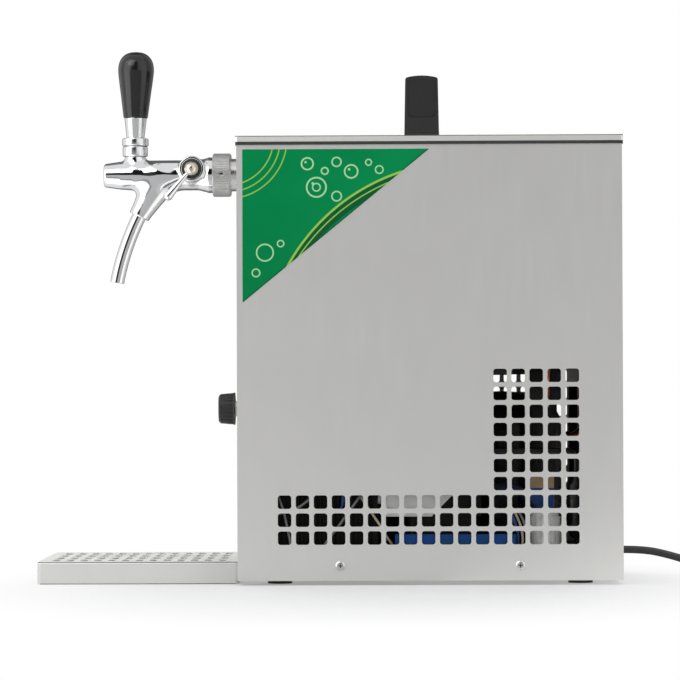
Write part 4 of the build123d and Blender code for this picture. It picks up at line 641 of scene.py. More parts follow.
# Printed corner triangle on the near panel, with a plain pattern of arcs and bubbles
decal = {
    "fromFront": 5.3,  # gap to the casing's front edge
    "top": 388.0,
    "long": 166.5,
    "deep": 136.5,
    "thick": 0.25,
    "cornerRound": 1.2,
    "edgeShadowShare": 0.011,  # the fine dark line of painted shadow along the slanting edge
    "green": (0.0, 0.20, 0.058),
    "lightGreen": (0.0, 0.225, 0.065),
    "deepGreen": (0.004, 0.095, 0.030),
    "pale": (0.36, 0.62, 0.34),
    "lime": (0.27, 0.50, 0.075),
    # circles: right of the triangle's right-angled corner, below it, radius, half the line
    "waveOuter": ((196.0, 190.0, 178.0, 0.4),),
    "waveInner": ((204.0, 204.0, 184.0, 0.4),),
    "arcs": (
        (196.0, 190.0, 178.0, 0.8), (200.0, 197.0, 181.0, 0.35), (-14.0, -10.0, 42.0, 0.35),
        (-14.0, -10.0, 48.0, 0.35), (-14.0, -10.0, 54.0, 0.35),
    ),
    "bubbles": (
        (58.0, 13.0, 5.2, 0.5), (73.5, 19.5, 3.0, 0.45), (84.0, 11.5, 4.0, 0.45),
        (97.0, 20.0, 5.8, 0.5), (112.5, 12.0, 2.6, 0.4), (122.0, 18.5, 3.4, 0.4),
        (66.0, 34.0, 8.6, 0.55), (84.0, 42.0, 4.2, 0.45), (66.0, 34.0, 3.4, 0.4),
        (20.0, 92.0, 7.4, 0.45), (34.0, 84.0, 2.8, 0.4), (12.0, 110.0, 3.4, 0.4),
    ),
    "glints": ((56.4, 11.6, 1.0, 0.4), (95.2, 18.2, 1.1, 0.4), (62.8, 30.6, 1.2, 0.4)),
}
decalLeft = frontX + decal["fromFront"]


def buildRingMask():
    # A ring or disc of a given radius and line width about a point of the panel.
    group, given, results = socketGroup(
        "ringMask", {"Middle": (0.0, 0.0, 0.0), "Radius": 0.01, "Half line": 0.0005},
        ("Line", "Inside"),
    )
    flat = vectorNode(group, "MULTIPLY", objectSpot(group), (1.0, 0.0, 1.0))[0]
    span = vectorNode(group, "DISTANCE", flat, given["Middle"])["Value"]
    away = mathNode(group, "SUBTRACT", span, given["Radius"])
    over = mathNode(group, "SUBTRACT", mathNode(group, "ABSOLUTE", away), given["Half line"])
    feed(group, results["Line"], mapRange(group, over, 0.0, 0.00035, 1.0, 0.0))
    feed(group, results["Inside"], mapRange(group, away, -0.0002, 0.0002, 1.0, 0.0))
    return group


ringGroup = buildRingMask()


def printedLowAndEdgeShadow(tree):
    # A soft deeper printed zone towards the low corner, and a fine dark line of painted shadow along
    # the slanting edge.
    x, _, z = splitAxes(tree, objectSpot(tree))
    top, shadowFrom = decal["top"], 1.0 - decal["edgeShadowShare"]
    across = mapRange(tree, x, decalLeft * mm, (decalLeft + decal["long"]) * mm)
    down = mapRange(tree, z, top * mm, (top - decal["deep"]) * mm)
    slant = mathNode(tree, "ADD", across, down)
    # the fine dark line of painted shadow along the slanting edge
    line = mapRange(tree, slant, shadowFrom, 1.0 - decal["edgeShadowShare"] * 0.6)
    low = mapRange(tree, down, 0.25, 1.15, 0.0, 0.2, smooth=True)
    return mathNode(tree, "MAXIMUM", line, low)


def drawRings(tree, colour, part, output, tint):
    # Rings or discs of one part of the print over a colour.
    for right, down, radius, halfLine in decal[part]:
        ring = useGroup(tree, ringGroup, {
            "Middle": ((decalLeft + right) * mm, 0.0, (decal["top"] - down) * mm),
            "Radius": radius * mm,
            "Half line": halfLine * mm,
        })
        colour = mixColour(tree, ring[output], colour, decal[tint])
    return colour


def buildDecalLook():
    # Glossy printed vinyl: two greens, lime arcs and pale bubbles.
    look, tree, shader = startMaterial("decalPrint", shine=0.06)
    patches = useGroup(tree, mottleGroup, {"Size": 14.0, "Fine": 2600.0})
    colour = mixColour(tree, patches["Patch"], decal["green"], decal["lightGreen"])
    colour = drawRings(tree, colour, "waveOuter", "Inside", "deepGreen")
    colour = drawRings(tree, colour, "waveInner", "Inside", "green")
    colour = mixColour(tree, printedLowAndEdgeShadow(tree), colour, decal["deepGreen"])
    colour = drawRings(tree, colour, "arcs", "Line", "lime")
    colour = drawRings(tree, colour, "bubbles", "Line", "pale")
    colour = drawRings(tree, colour, "glints", "Inside", "pale")
    feed(tree, shader["Base Color"], colour)
    feed(tree, shader["Roughness"], mapRange(tree, patches["Patch"], 0.0, 1.0, 0.3, 0.38))
    feed(tree, shader["Normal"], bumpNode(tree, patches["Speckle"], 0.05, 0.01))
    return look


def buildDecal():
    # The thin triangle with eased corners, stuck on the panel's outer face.
    top = decal["top"]
    corners = [
        Vector((decalLeft, top)),
        Vector((decalLeft + decal["long"], top)),
        Vector((decalLeft, top - decal["deep"])),
    ]
    outline = []
    for before, corner, after in zip(corners[-1:] + corners, corners, corners[1:] + corners[:1]):
        start = corner + (before - corner).normalized() * decal["cornerRound"]
        end = corner + (after - corner).normalized() * decal["cornerRound"]
        for step in range(6):
            share = step / 5
            outline.append(start.lerp(corner, share).lerp(corner.lerp(end, share), share))
    mesh = bmesh.new()
    front, back = [], []
    for spot in outline:
        front.append(mesh.verts.new(place((spot.x, -sideY - decal["thick"], spot.y))))
        back.append(mesh.verts.new(place((spot.x, -sideY + 0.05, spot.y))))
    mesh.faces.new(front)
    for step in range(len(outline)):
        after = (step + 1) % len(outline)
        mesh.faces.new((front[step], back[step], back[after], front[after]))
    bmesh.ops.recalc_face_normals(mesh, faces=mesh.faces)
    return putMesh("cornerDecal", mesh, buildDecalLook(), "cabinet", smooth=False)


buildDecal()
print("corner print placed")


# Sculpted skins: a smooth closed surface where a field of distances is nought
def softMin(first, second, blendWidth):
    # The nearer of two fields, with a fillet about as wide as blendWidth.
    share = np.clip(0.5 + 0.5 * (second - first) / blendWidth, 0, 1)
    return second * (1 - share) + first * share - blendWidth * share * (1 - share)


def softMax(first, second, blendWidth):
    # The farther of two fields, with an eased edge.
    return -softMin(-first, -second, blendWidth)


def skin(name, field, low, high, step, look, body):
    # A quad mesh on the field's surface, all in millimetres.
    counts = [int(math.ceil((high[axis] - low[axis]) / step)) + 1 for axis in range(3)]
    grid = np.meshgrid(*[low[axis] + step * np.arange(counts[axis]) for axis in range(3)],
                       indexing="ij")
    values = field(np.stack(grid, -1).reshape(-1, 3)).reshape(counts)
    inside = values < 0
    cells = [slice(0, -1), slice(1, None)]
    corners = [inside[a, b, c] for a in cells for b in cells for c in cells]
    crossed = np.logical_or.reduce(corners) & ~np.logical_and.reduce(corners)
    number = np.full(crossed.shape, -1)
    number[crossed] = np.arange(crossed.sum())
    spots = np.array(low) + (np.argwhere(crossed) + 0.5) * step
    tiny = 0.02
    for _ in range(6):
        here = field(spots)
        slope = np.stack([
            (field(spots + tiny * np.eye(3)[axis]) - field(spots - tiny * np.eye(3)[axis]))
            / (2 * tiny)
            for axis in range(3)
        ], -1)
        steep = np.maximum((slope**2).sum(-1), 0.2)
        move = slope * (here / steep)[:, None]
        spots = spots - np.clip(move, -step / 2, step / 2)
    quads = []
    for axis in range(3):
        sides = [other for other in range(3) if other != axis]
        ahead = [slice(None)] * 3
        behind = [slice(None)] * 3
        behind[axis], ahead[axis] = slice(0, -1), slice(1, None)
        for other in sides:
            behind[other] = ahead[other] = slice(1, -1)
        change = inside[tuple(behind)].astype(int) - inside[tuple(ahead)].astype(int)
        for sign in (1, -1):
            where = np.argwhere(change == sign)
            for other in sides:
                where[:, other] += 1
            ring = []
            for shiftA, shiftB in ((0, 0), (1, 0), (1, 1), (0, 1)):
                cell = where.copy()
                cell[:, sides[0]] -= shiftA
                cell[:, sides[1]] -= shiftB
                ring.append(number[cell[:, 0], cell[:, 1], cell[:, 2]])
            flip = (sign == 1) == (axis == 1)
            quads.append(np.stack(ring[::-1] if flip else ring, -1))
    faces = np.concatenate(quads)
    data = bpy.data.meshes.new(name)
    data.from_pydata((spots * mm).tolist(), [], faces.tolist())
    data.validate()
    data.polygons.foreach_set("use_smooth", [True] * len(data.polygons))
    return putPiece(name, data, look, body)


# Tap body: barrel, nose, handle neck, spout neck with its web, and the compensator's boss
tap = {
    "height": 372.0,
    "step": 0.7,  # of the sculpted skin
    # (reach in front of the panel, radius) along the barrel
    "barrel": (
        (16.0, 16.0), (30.5, 16.5), (33.0, 15.6), (40.0, 13.9), (70.0, 13.9), (100.0, 13.7),
        (112.0, 12.9), (127.6, 10.6),
    ),
    "noseEnd": 127.4,
    "handleReach": 98.6,
    "handleNeck": 9.4,
    "handleNeckTop": 389.3,
    "neckRoot": (-162.4, 372.0),
    "neckMouth": (-181.2, 334.0),
    "neck": ((0.0, 14.0), (12.0, 13.2), (24.0, 11.2), (33.0, 9.9), (42.4, 9.7)),
    "web": ((-152.0, 366.0), (-172.0, 344.0), 7.6, 5.0),
    "bossReach": 45.6,
    "bossHeight": 377.0,
    "bossRadius": 11.9,
    "bossFace": -18.0,
    "recess": 9.0,
    "recessDeep": 1.7,
    # how wide the fillets are where the parts flow together
    "spoutFillet": 7.0,
    "webFillet": 9.0,
    "handleFillet": 4.5,
    "bossFillet": 2.2,
}


def barrelField(spots):
    # The lying barrel with its stepped root and eased nose.
    reach = frontX - spots[:, 0]
    rise = spots[:, 2] - tap["height"]
    away = np.hypot(spots[:, 1], rise)
    table = np.array(tap["barrel"])
    radius = np.interp(reach, table[:, 0], table[:, 1])
    return softMax(
        softMax(away - radius, reach - tap["noseEnd"], 2.4), tap["barrel"][0][0] - reach, 0.5
    )


def neckField(spots):
    # The tapering neck that leads down to the spout tube.
    root, mouth = Vector(tap["neckRoot"]), Vector(tap["neckMouth"])
    length = (mouth - root).length
    down = (mouth - root) / length
    alongX, alongZ = spots[:, 0] - root.x, spots[:, 2] - root.y
    travel = alongX * down.x + alongZ * down.y
    side = alongX * down.y - alongZ * down.x
    away = np.hypot(side, spots[:, 1] * 1.06)  # a little narrower sideways
    table = np.array(tap["neck"])
    radius = np.interp(travel, table[:, 0], table[:, 1])
    wall = (away - radius) * 0.97  # the taper makes a true distance a little shorter
    return softMax(softMax(wall, travel - length, 0.9), -travel - 2.0, 1.0)


def webField(spots):
    # The web that fills the inner side of the bend.
    (startX, startZ), (endX, endZ), startRadius, endRadius = tap["web"]
    runX, runZ = endX - startX, endZ - startZ
    share = ((spots[:, 0] - startX) * runX + (spots[:, 2] - startZ) * runZ) / (runX**2 + runZ**2)
    share = np.clip(share, 0, 1)
    offX = spots[:, 0] - startX - share * runX
    offZ = spots[:, 2] - startZ - share * runZ
    away = np.sqrt(offX**2 + offZ**2 + spots[:, 1]**2)
    return away - (startRadius + share * (endRadius - startRadius))


def tapField(spots):
    # All of the tap's body: barrel, spout neck, handle neck, boss and the recess in the boss.
    spout = softMin(neckField(spots), webField(spots), tap["webFillet"])
    whole = softMin(barrelField(spots), spout, tap["spoutFillet"])
    handleX = frontX - tap["handleReach"]
    neckAway = np.hypot(spots[:, 0] - handleX, spots[:, 1])
    neck = softMax(neckAway - tap["handleNeck"], spots[:, 2] - tap["handleNeckTop"], 0.8)
    neck = softMax(neck, tap["height"] - spots[:, 2], 1.0)
    whole = softMin(whole, neck, tap["handleFillet"])
    bossX = frontX - tap["bossReach"]
    bossAway = np.hypot(spots[:, 0] - bossX, spots[:, 2] - tap["bossHeight"])
    boss = softMax(bossAway - tap["bossRadius"], tap["bossFace"] - spots[:, 1], 1.4)
    boss = softMax(boss, spots[:, 1], 1.0)
    whole = softMin(whole, boss, tap["bossFillet"])
    recess = np.maximum(bossAway - tap["recess"], spots[:, 1] - tap["bossFace"] - tap["recessDeep"])
    return softMax(whole, -recess, 0.5)


tapBody = skin(
    "tapBody", tapField, (-216.0, -20.0, 328.0), (-98.0, 18.0, 392.0), tap["step"],
    materials["chrome"], "cabinet",
)
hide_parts("tap_body")
print("tap sculpted:", len(tapBody.data.vertices), "points")

# Handle: collar on the neck, the rings above it, the ferrule and the knob
handle = {
    "pivot": (frontX - tap["handleReach"], 0.0, 386.0),
    "lean": (0.0115, 0, 1),  # the way it points at rest
    "easing": 0.7,
    "knobEasing": 2.2,
    # (radius, height above the pivot)
    "collar": (
        (7.3, 3.4), (10.9, 3.4), (11.65, 4.4), (11.65, 11.7), (11.0, 12.55), (10.3, 13.3),
        (8.8, 14.4), (5.61, 5.0), (5.61, 4.67), (7.3, 3.4),
    ),
    "ring": (
        (3.1, 17.2), (6.2, 16.35), (9.2, 14.9), (11.0, 13.2), (11.6, 13.1), (12.15, 13.8),
        (12.15, 19.3), (11.3, 20.35), (3.1, 20.35), (3.1, 17.2),
    ),
    "ferrule": (
        (4.0, 20.5), (8.2, 20.5), (8.35, 21.4), (10.25, 38.3), (10.0, 38.85), (4.0, 38.85),
        (4.0, 20.5),
    ),
    "knob": (
        (4.1, 39.0), (10.7, 39.0), (11.25, 39.7), (12.3, 48.0), (14.0, 61.5), (15.4, 71.5),
        (16.15, 78.0), (16.6, 82.6), (16.4, 86.5), (15.6, 90.4), (13.8, 94.2), (10.9, 97.2),
        (7.2, 99.2), (3.4, 99.9), (0.0, 100.0),
    ),
}
for title, part, look, body, node in (
    ("tapCollar", "collar", "softChrome", "cabinet", "tap_collar"),
    ("handleRing", "ring", "softChrome", "tap_handle", "handle_ring"),
    ("handleFerrule", "ferrule", "softChrome", "tap_handle", "handle_ferrule"),
    ("handleKnob", "knob", "knobBlack", "tap_handle", "handle_knob"),
):
    easing = handle["knobEasing"] if part == "knob" else handle["easing"]
    direction = (0, 0, 1) if part == "collar" else handle["lean"]
    turned = lathe(title, handle[part], handle["pivot"], direction, materials[look], body, easing)
    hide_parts(node)
print("handle turned")


# Carry handle: painted shade in the fine seams between its body and its end caps
handleSeams = {
    "middleX": rearX - 177.5,
    "line": 0.55,
    "proud": 0.12,
    "under": 0.3,  # how far they reach below the surface
}


def buildHandleSeams():
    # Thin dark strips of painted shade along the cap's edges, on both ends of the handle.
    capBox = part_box("handle_end_caps")
    mesh = bmesh.new()
    middle, line = handleSeams["middleX"], handleSeams["line"]
    low, high = capBox[0][2] / mm, capBox[1][2] / mm
    half = (capBox[1][0] - capBox[0][0]) / mm / 2
    for faceY in (capBox[0][1] / mm, capBox[1][1] / mm):
        outward = math.copysign(1.0, faceY)
        nearY, farY = sorted(
            faceY + outward * reach for reach in (-handleSeams["under"], handleSeams["proud"])
        )
        for lowX, highX, lowZ, highZ in (
            (middle - half - line, middle - half, low, high),
            (middle + half, middle + half + line, low, high),
            (middle - half, middle + half, low - line, low),
        ):
            roundedBlock(mesh, (lowX, nearY, lowZ), (highX, farY, highZ), 0)
    return putMesh("handleSeams", mesh, materials["shadeAndPrintBlack"], "cabinet", smooth=False)


buildHandleSeams()
print("handle seams drawn")


# Trim: strips of painted shade along the lid's top edge and under the grate's edge, painted contact
# shadow along the tray's foot, the compensator's seal and painted shade in the side screws' crosses
trim = {
    # strips of painted shade: along the lid's top edge, under the grate's edge and along the tray's
    # foot
    "lidShadowLow": (frontX - 1.0, -116.05, 399.35),
    "lidShadowHigh": (rearX + 1.0, -115.4, 400.05),
    "grateShadowLow": (-266.4, -90.12, 19.2),
    "grateShadowHigh": (-86.6, -89.7, 20.1),
    "trayShadowLow": (-264.5, -90.12, 0.0),
    "trayShadowHigh": (-88.6, 90.12, 0.8),
    "bossPlace": (-131.6, -16.3, 377.0),
    "seal": ((0.0, 0.0), (9.2, 0.0), (9.2, 1.5), (8.8, 1.75), (6.4, 1.75), (0.0, 1.2)),
    "crossPlaces": ((casingX - 80.0, 17.3), (casingX + 80.0, 17.3)),  # the side screws
    "crossArm": 1.9,
    "crossHalf": 0.36,
    "crossFrom": 0.95,  # out of the panel's face
    "crossTo": 2.1,
}


def buildCrosses():
    # Painted shade in the cross recesses of the side panels' screws.
    mesh = bmesh.new()
    arm, half = trim["crossArm"], trim["crossHalf"]
    for side in (-1, 1):
        lowY, highY = sorted((side * (sideY + trim["crossFrom"]), side * (sideY + trim["crossTo"])))
        for x, z in trim["crossPlaces"]:
            for wide, tall in ((arm, half), (half, arm)):
                roundedBlock(mesh, (x - wide, lowY, z - tall), (x + wide, highY, z + tall), 0)
    return putMesh("screwCrosses", mesh, materials["shadeAndPrintBlack"], "cabinet", smooth=False)


buildCrosses()
# a dark strip of painted shade along the lid's top edge
block("lidShadowLine", trim["lidShadowLow"], trim["lidShadowHigh"], materials["paintedShadeSteel"], "cabinet", 0)
# a dark strip of painted shade in the gap under the grate's edge
block("grateShadowLine", trim["grateShadowLow"], trim["grateShadowHigh"], materials["paintedShadeSteel"], "grate", 0)
# a black strip of painted contact shadow along the tray's foot
block("trayShadowStrip", trim["trayShadowLow"], trim["trayShadowHigh"], materials["rubberAndShadeBlack"], "tray", 0.4)
sealPiece = lathe(
    "compensatorSeal", trim["seal"], trim["bossPlace"], (0, -1, 0), materials["rubberAndShadeBlack"],
    "cabinet", 0.3,
)
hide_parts("compensator_seal")
print("trim placed")


# Inside, behind the vents: paints that change along a node, a plate, wiring and a sleeve
def splitPaint(name, plan, axis, limits, colour, metallic):
    # A finish that turns to another colour outside limits (mm) on one axis of the object.
    look = surface(name, plan)
    tree = look.node_tree
    shader = tree.nodes["Principled BSDF"].inputs
    along = splitAxes(tree, objectSpot(tree))[axis]
    blur = 0.6
    low = mapRange(tree, along, limits[0] * mm, (limits[0] + blur) * mm, 1.0, 0.0)
    high = mapRange(tree, along, limits[1] * mm, (limits[1] + blur) * mm)
    outside = mathNode(tree, "MAXIMUM", low, high)
    painted = shader["Base Color"].links[0].from_socket
    patches = useGroup(tree, mottleGroup, {"Size": 80.0, "Fine": 900.0})
    other = mixColour(tree, patches["Patch"], colour, tuple(value * 0.8 for value in colour))
    feed(tree, shader["Base Color"], mixColour(tree, outside, painted, other))
    metal = mapRange(tree, outside, 0.0, 1.0, plan.get("metallic", 0.0), metallic)
    feed(tree, shader["Metallic"], metal)
    return look


inside = {
    # nodes in two colours: finish and material name, the axis and the limits of the finish,
    # then the other colour and its metallic; 400 is past the end of any node
    "splitPaints": {
        "refrigerant_pipes": (
            "copper", "pipeSleeve", 2, (128.0, 143.0), (0.006, 0.006, 0.0065), 0.0,
        ),
        "thermostat_body": (
            "blackPlastic", "thermostatPaint", 0, (frontX - 0.4, 400.0), (0.8, 0.8, 0.79), 0.9,
        ),
        "terminal_cover": (
            "coverBeige", "coverPaint", 2, (84.0, 400.0), (0.008, 0.085, 0.36), 0.0,
        ),
    },
    "plateLow": 61.5,  # bare plate: its lower edge, its top and its slanting right end
    "plateHigh": 106.0,
    "plateLeft": 45.0,
    "plateRight": (87.5, 131.5),
    "plateFace": -106.0,
    "plateThick": 0.9,
    # plain inner parts: low corner, high corner, finish
    "fillers": {
        "foamLip": ((154.5, -102.0, 187.0), (173.5, -52.0, 262.0), "foamShell"),
        "relayBox": ((175.5, -84.0, 160.0), (206.0, -60.0, 199.0), "sleeveFoam"),
        "soundPad": ((219.5, 108.0, 60.0), (251.0, 113.0, 176.0), "foamShell"),
        "airBaffle": ((30.0, -62.0, 17.5), (66.0, -58.0, 96.0), "foamShell"),
        "plateBracket": ((24.0, -101.0, 71.5), (44.0, -99.5, 84.0), "zincSheet"),
    },
    "capillary": ((190.0, -88.0, 158.0), (190.6, -96.0, 176.0), (191.4, -99.0, 197.0)),
    "capillaryRadius": 2.6,
    "sleevePlace": (188.0, -50.5, 98.0),
    "sleeve": (
        (0.0, 0.0), (12.8, 0.0), (12.8, 74.0), (9.8, 79.0), (5.0, 80.0), (5.0, 89.0), (0.0, 89.0),
    ),
    "sleeveRibs": 34,
    "ribDeep": 0.35,
    "wireRadius": 1.15,
}
for node, (base, name, axis, limits, colour, metallic) in inside["splitPaints"].items():
    paint = splitPaint(name, looks[base], axis, limits, colour, metallic)
    nodes[node].data.materials[0] = paint


def buildPlate():
    # A bare bright plate screwed to the pump's head, its lower rim turned back.
    left, low, high = inside["plateLeft"], inside["plateLow"], inside["plateHigh"]
    face, thick = inside["plateFace"], inside["plateThick"]
    rightLow, rightHigh = inside["plateRight"]
    mesh = bmesh.new()
    outline = ((left, low), (rightLow, low), (rightHigh, high), (left, high))
    sheet = [mesh.verts.new(place((x, face, z))) for x, z in outline]
    rear = [mesh.verts.new(place((x, face + thick, z))) for x, z in outline]
    mesh.faces.new(sheet)
    mesh.faces.new(rear[::-1])
    for step in range(4):
        after = (step + 1) % 4
        mesh.faces.new((sheet[step], rear[step], rear[after], sheet[after]))
    roundedBlock(mesh, (left, face, low - thick), (rightLow, face + 3.0, low), 0.2)
    for screwX in (left + 22.0, rightLow - 8.0):  # the heads of its two screws
        roundedBlock(
            mesh, (screwX - 2.4, face - 1.2, high - 9.0), (screwX + 2.4, face, high - 4.2), 0.9
        )
    bmesh.ops.recalc_face_normals(mesh, faces=mesh.faces)
    return crease(putMesh("pumpPlate", mesh, materials["plateSilver"], "cabinet"))


def ribbedSleeve(radius, angle):
    # Fine upright ribs of the foam sleeve.
    return radius + inside["ribDeep"] * math.cos(angle * inside["sleeveRibs"])


buildPlate()
for title, (low, high, look) in inside["fillers"].items():
    block(title, low, high, materials[look], "cabinet", 1.5)
lathe(
    "suctionSleeve", inside["sleeve"], inside["sleevePlace"], (0, 0, 1), materials["sleeveFoam"],
    "cabinet", 1.0, 6 * inside["sleeveRibs"], ribbedSleeve,
)
wire(
    "capillary", inside["capillary"], inside["capillaryRadius"], materials["copper"], "cabinet", 4
)

# Loose wiring between the condenser and the near panel, each run tied down at both ends
wiring = {
    "greyRun": ("wireGrey", (
        (31.0, -103.0, 92.0), (24.0, -107.0, 80.0), (10.4, -108.0, 61.5), (3.2, -108.0, 51.2),
        (-9.0, -107.5, 36.0), (-16.0, -104.0, 19.0), (-17.0, -104.0, 8.0),
    )),
    "creamRun": ("wireCream", (
        (20.0, -104.0, 84.0), (27.0, -107.0, 73.0), (34.4, -108.0, 62.4), (41.1, -108.0, 52.6),
        (46.9, -107.0, 41.9), (53.0, -105.0, 34.0), (60.0, -103.5, 20.0), (61.0, -103.5, 8.0),
    )),
    "lightRun": ("wireGrey", (
        (-52.0, -103.0, 84.0), (-46.0, -107.0, 70.0), (-42.0, -108.0, 52.0),
        (-38.7, -108.0, 35.6), (-37.0, -104.0, 20.0), (-36.0, -104.0, 8.0),
    )),
    "slantRun": ("wireGrey", (
        (2.0, -103.5, 104.0), (-8.0, -107.0, 88.0), (-22.0, -108.0, 76.5),
        (-31.0, -108.0, 69.0), (-44.0, -107.0, 64.5), (-55.0, -103.5, 62.0),
    )),
    "blueRun": ("wireBlue", (
        (6.0, -103.5, 104.0), (7.6, -107.5, 92.0), (7.7, -108.0, 78.0), (7.4, -107.5, 68.5),
        (2.0, -105.0, 64.6), (-8.0, -103.5, 63.0),
    )),
    "whiteDrop": ("wireCream", (
        (160.0, -100.0, 66.0), (165.0, -104.0, 56.0), (168.0, -106.0, 44.0),
        (167.0, -106.0, 30.0), (166.0, -104.0, 8.0),
    )),
    "blueDrop": ("wireBlue", (
        (157.0, -100.0, 66.0), (161.0, -104.0, 56.0), (164.0, -106.0, 44.0),
        (163.5, -106.0, 30.0), (162.0, -104.0, 8.0),
    )),
    "greyDrop": ("wireGrey", (
        (163.0, -100.0, 67.0), (169.0, -104.0, 57.0), (172.0, -106.0, 44.0),
        (171.0, -106.0, 30.0), (170.0, -104.0, 8.0),
    )),
}
for name, (look, points) in wiring.items():
    wire(name, points, inside["wireRadius"], materials[look], "cabinet", 3)
print("inside dressed")


# Marks: ticks round the thermostat, the line on its knob and a blank plate on the back
marks = {
    "dial": (-75.0, 157.0),  # the thermostat's axis: y and z
    "ticks": 9,
    "tickFrom": 17.6,  # distances from the axis
    "tickTo": 20.6,
    "tickLonger": 1.2,
    "tickWide": 0.7,
    "sweep": 280.0,  # degrees
    "proud": 0.12,
    "knobLine": ((-104.75, -75.5, 160.5), (-104.25, -74.5, 167.5)),
    "platePlace": ((-82.0, 286.0), (-18.0, 330.0)),
    "plateFrame": 1.6,
}


def buildTicks():
    # Printed marks on the front panel, longer at both ends and in the middle.
    mesh = bmesh.new()
    middleY, middleZ = marks["dial"]
    for step in range(marks["ticks"]):
        turn = math.radians(-marks["sweep"] / 2 + marks["sweep"] * step / (marks["ticks"] - 1))
        reach = marks["tickTo"] + (marks["tickLonger"] if step % 4 == 0 else 0.0)
        made = bmesh.ops.create_cube(mesh, size=1.0)["verts"]
        size = Vector((marks["proud"] * 2, marks["tickWide"], reach - marks["tickFrom"]))
        centre = (reach + marks["tickFrom"]) / 2
        for vertex in made:
            low = vertex.co * size + Vector((0, 0, centre))
            y = low.y * math.cos(turn) - low.z * math.sin(turn)
            z = low.y * math.sin(turn) + low.z * math.cos(turn)
            vertex.co = place((frontX + low.x, middleY + y, middleZ + z))
    return putMesh("dialTicks", mesh, materials["shadeAndPrintBlack"], "cabinet", smooth=False)


def buildRearPlate():
    # Blank aluminium plate with a raised frame.
    (lowY, lowZ), (highY, highZ) = marks["platePlace"]
    frameWide = marks["plateFrame"]
    mesh = bmesh.new()
    roundedBlock(mesh, (rearX - 0.1, lowY, lowZ), (rearX + 0.35, highY, highZ), 0.15)
    for low, high in (
        ((lowY, lowZ), (highY, lowZ + frameWide)), ((lowY, highZ - frameWide), (highY, highZ)),
        ((lowY, lowZ), (lowY + frameWide, highZ)), ((highY - frameWide, lowZ), (highY, highZ)),
    ):
        roundedBlock(mesh, (rearX, *low), (rearX + 0.6, *high), 0.15)
    return crease(putMesh("rearPlate", mesh, materials["plateSilver"], "cabinet"))


buildTicks()
buildRearPlate()
block("knobLine", *marks["knobLine"], materials["whitePlastic"], "thermostat_dial", 0.2)
print("marks placed")


# Studio: a pale floor that fades to white, a white surround and soft lamps
studio = {
    "floorSize": 14.0,  # metres
    "floorTone": (0.60, 0.603, 0.61),
    "floorLift": 0.3,  # how much the floor glows at its darkest
    "fadeMiddle": (0.03, -0.12),  # metres
    "fadeStretch": (1.5, 1.0),  # the fade is quicker sideways
    "fadeFrom": 0.2,
    "fadeTo": 0.6,
    "surroundLight": 0.84,  # what matt surfaces get from all round
    # what metal sees below and above eye level: (degrees to the right of the camera, level)
    "mirrorLow": (
        (-180, 0.12), (-150, 0.25), (-128, 0.95), (-82, 1.0), (-76, 2.4), (-44, 2.4),
        (-36, 0.85), (-32, 0.22), (-27, 0.6), (27, 0.52), (33, 0.22), (40, 1.15), (72, 1.15),
        (80, 0.5), (140, 0.55), (160, 0.2), (180, 0.12),
    ),
    "mirrorMiddle": (
        (-180, 0.12), (-150, 0.25), (-128, 0.95), (-82, 1.0), (-76, 2.2), (-44, 2.2),
        (-20, 1.0), (-13, 0.45), (-5, 0.2), (5, 0.2), (13, 0.45), (20, 1.0), (40, 1.15),
        (72, 1.15), (80, 0.6), (140, 0.6), (160, 0.2), (180, 0.12),
    ),
    "mirrorHigh": 0.92,  # and overhead
    "mirrorGap": 0.05,  # and in the gap between the soft boxes
    "gapLeft": 0.13,  # radians to the left of the camera's side
    "gapHalf": (0.28, 0.46),  # radians, where the soft boxes begin to show and are full
    "gapTop": (0.56, 0.64),  # heights of a direction of length 1
    "overheadFrom": (0.62, 0.68),
    "mirroredLamps": ("keyLamp",),
    "lamps": {
        # name: (place, target, size, size, watts)
        "keyLamp": ((-1.4, -2.0, 2.1), (0.0, 0.0, 0.25), 2.0, 1.6, 20.0),
        "fillLamp": ((2.0, -1.7, 1.1), (0.0, 0.0, 0.25), 0.7, 1.6, 12.0),
        "topLamp": ((0.1, 0.5, 2.4), (0.0, 0.0, 0.2), 2.2, 1.6, 24.0),
        "backLamp": ((-0.9, 2.2, 1.3), (0.0, 0.0, 0.25), 1.2, 1.4, 18.0),
    },
}


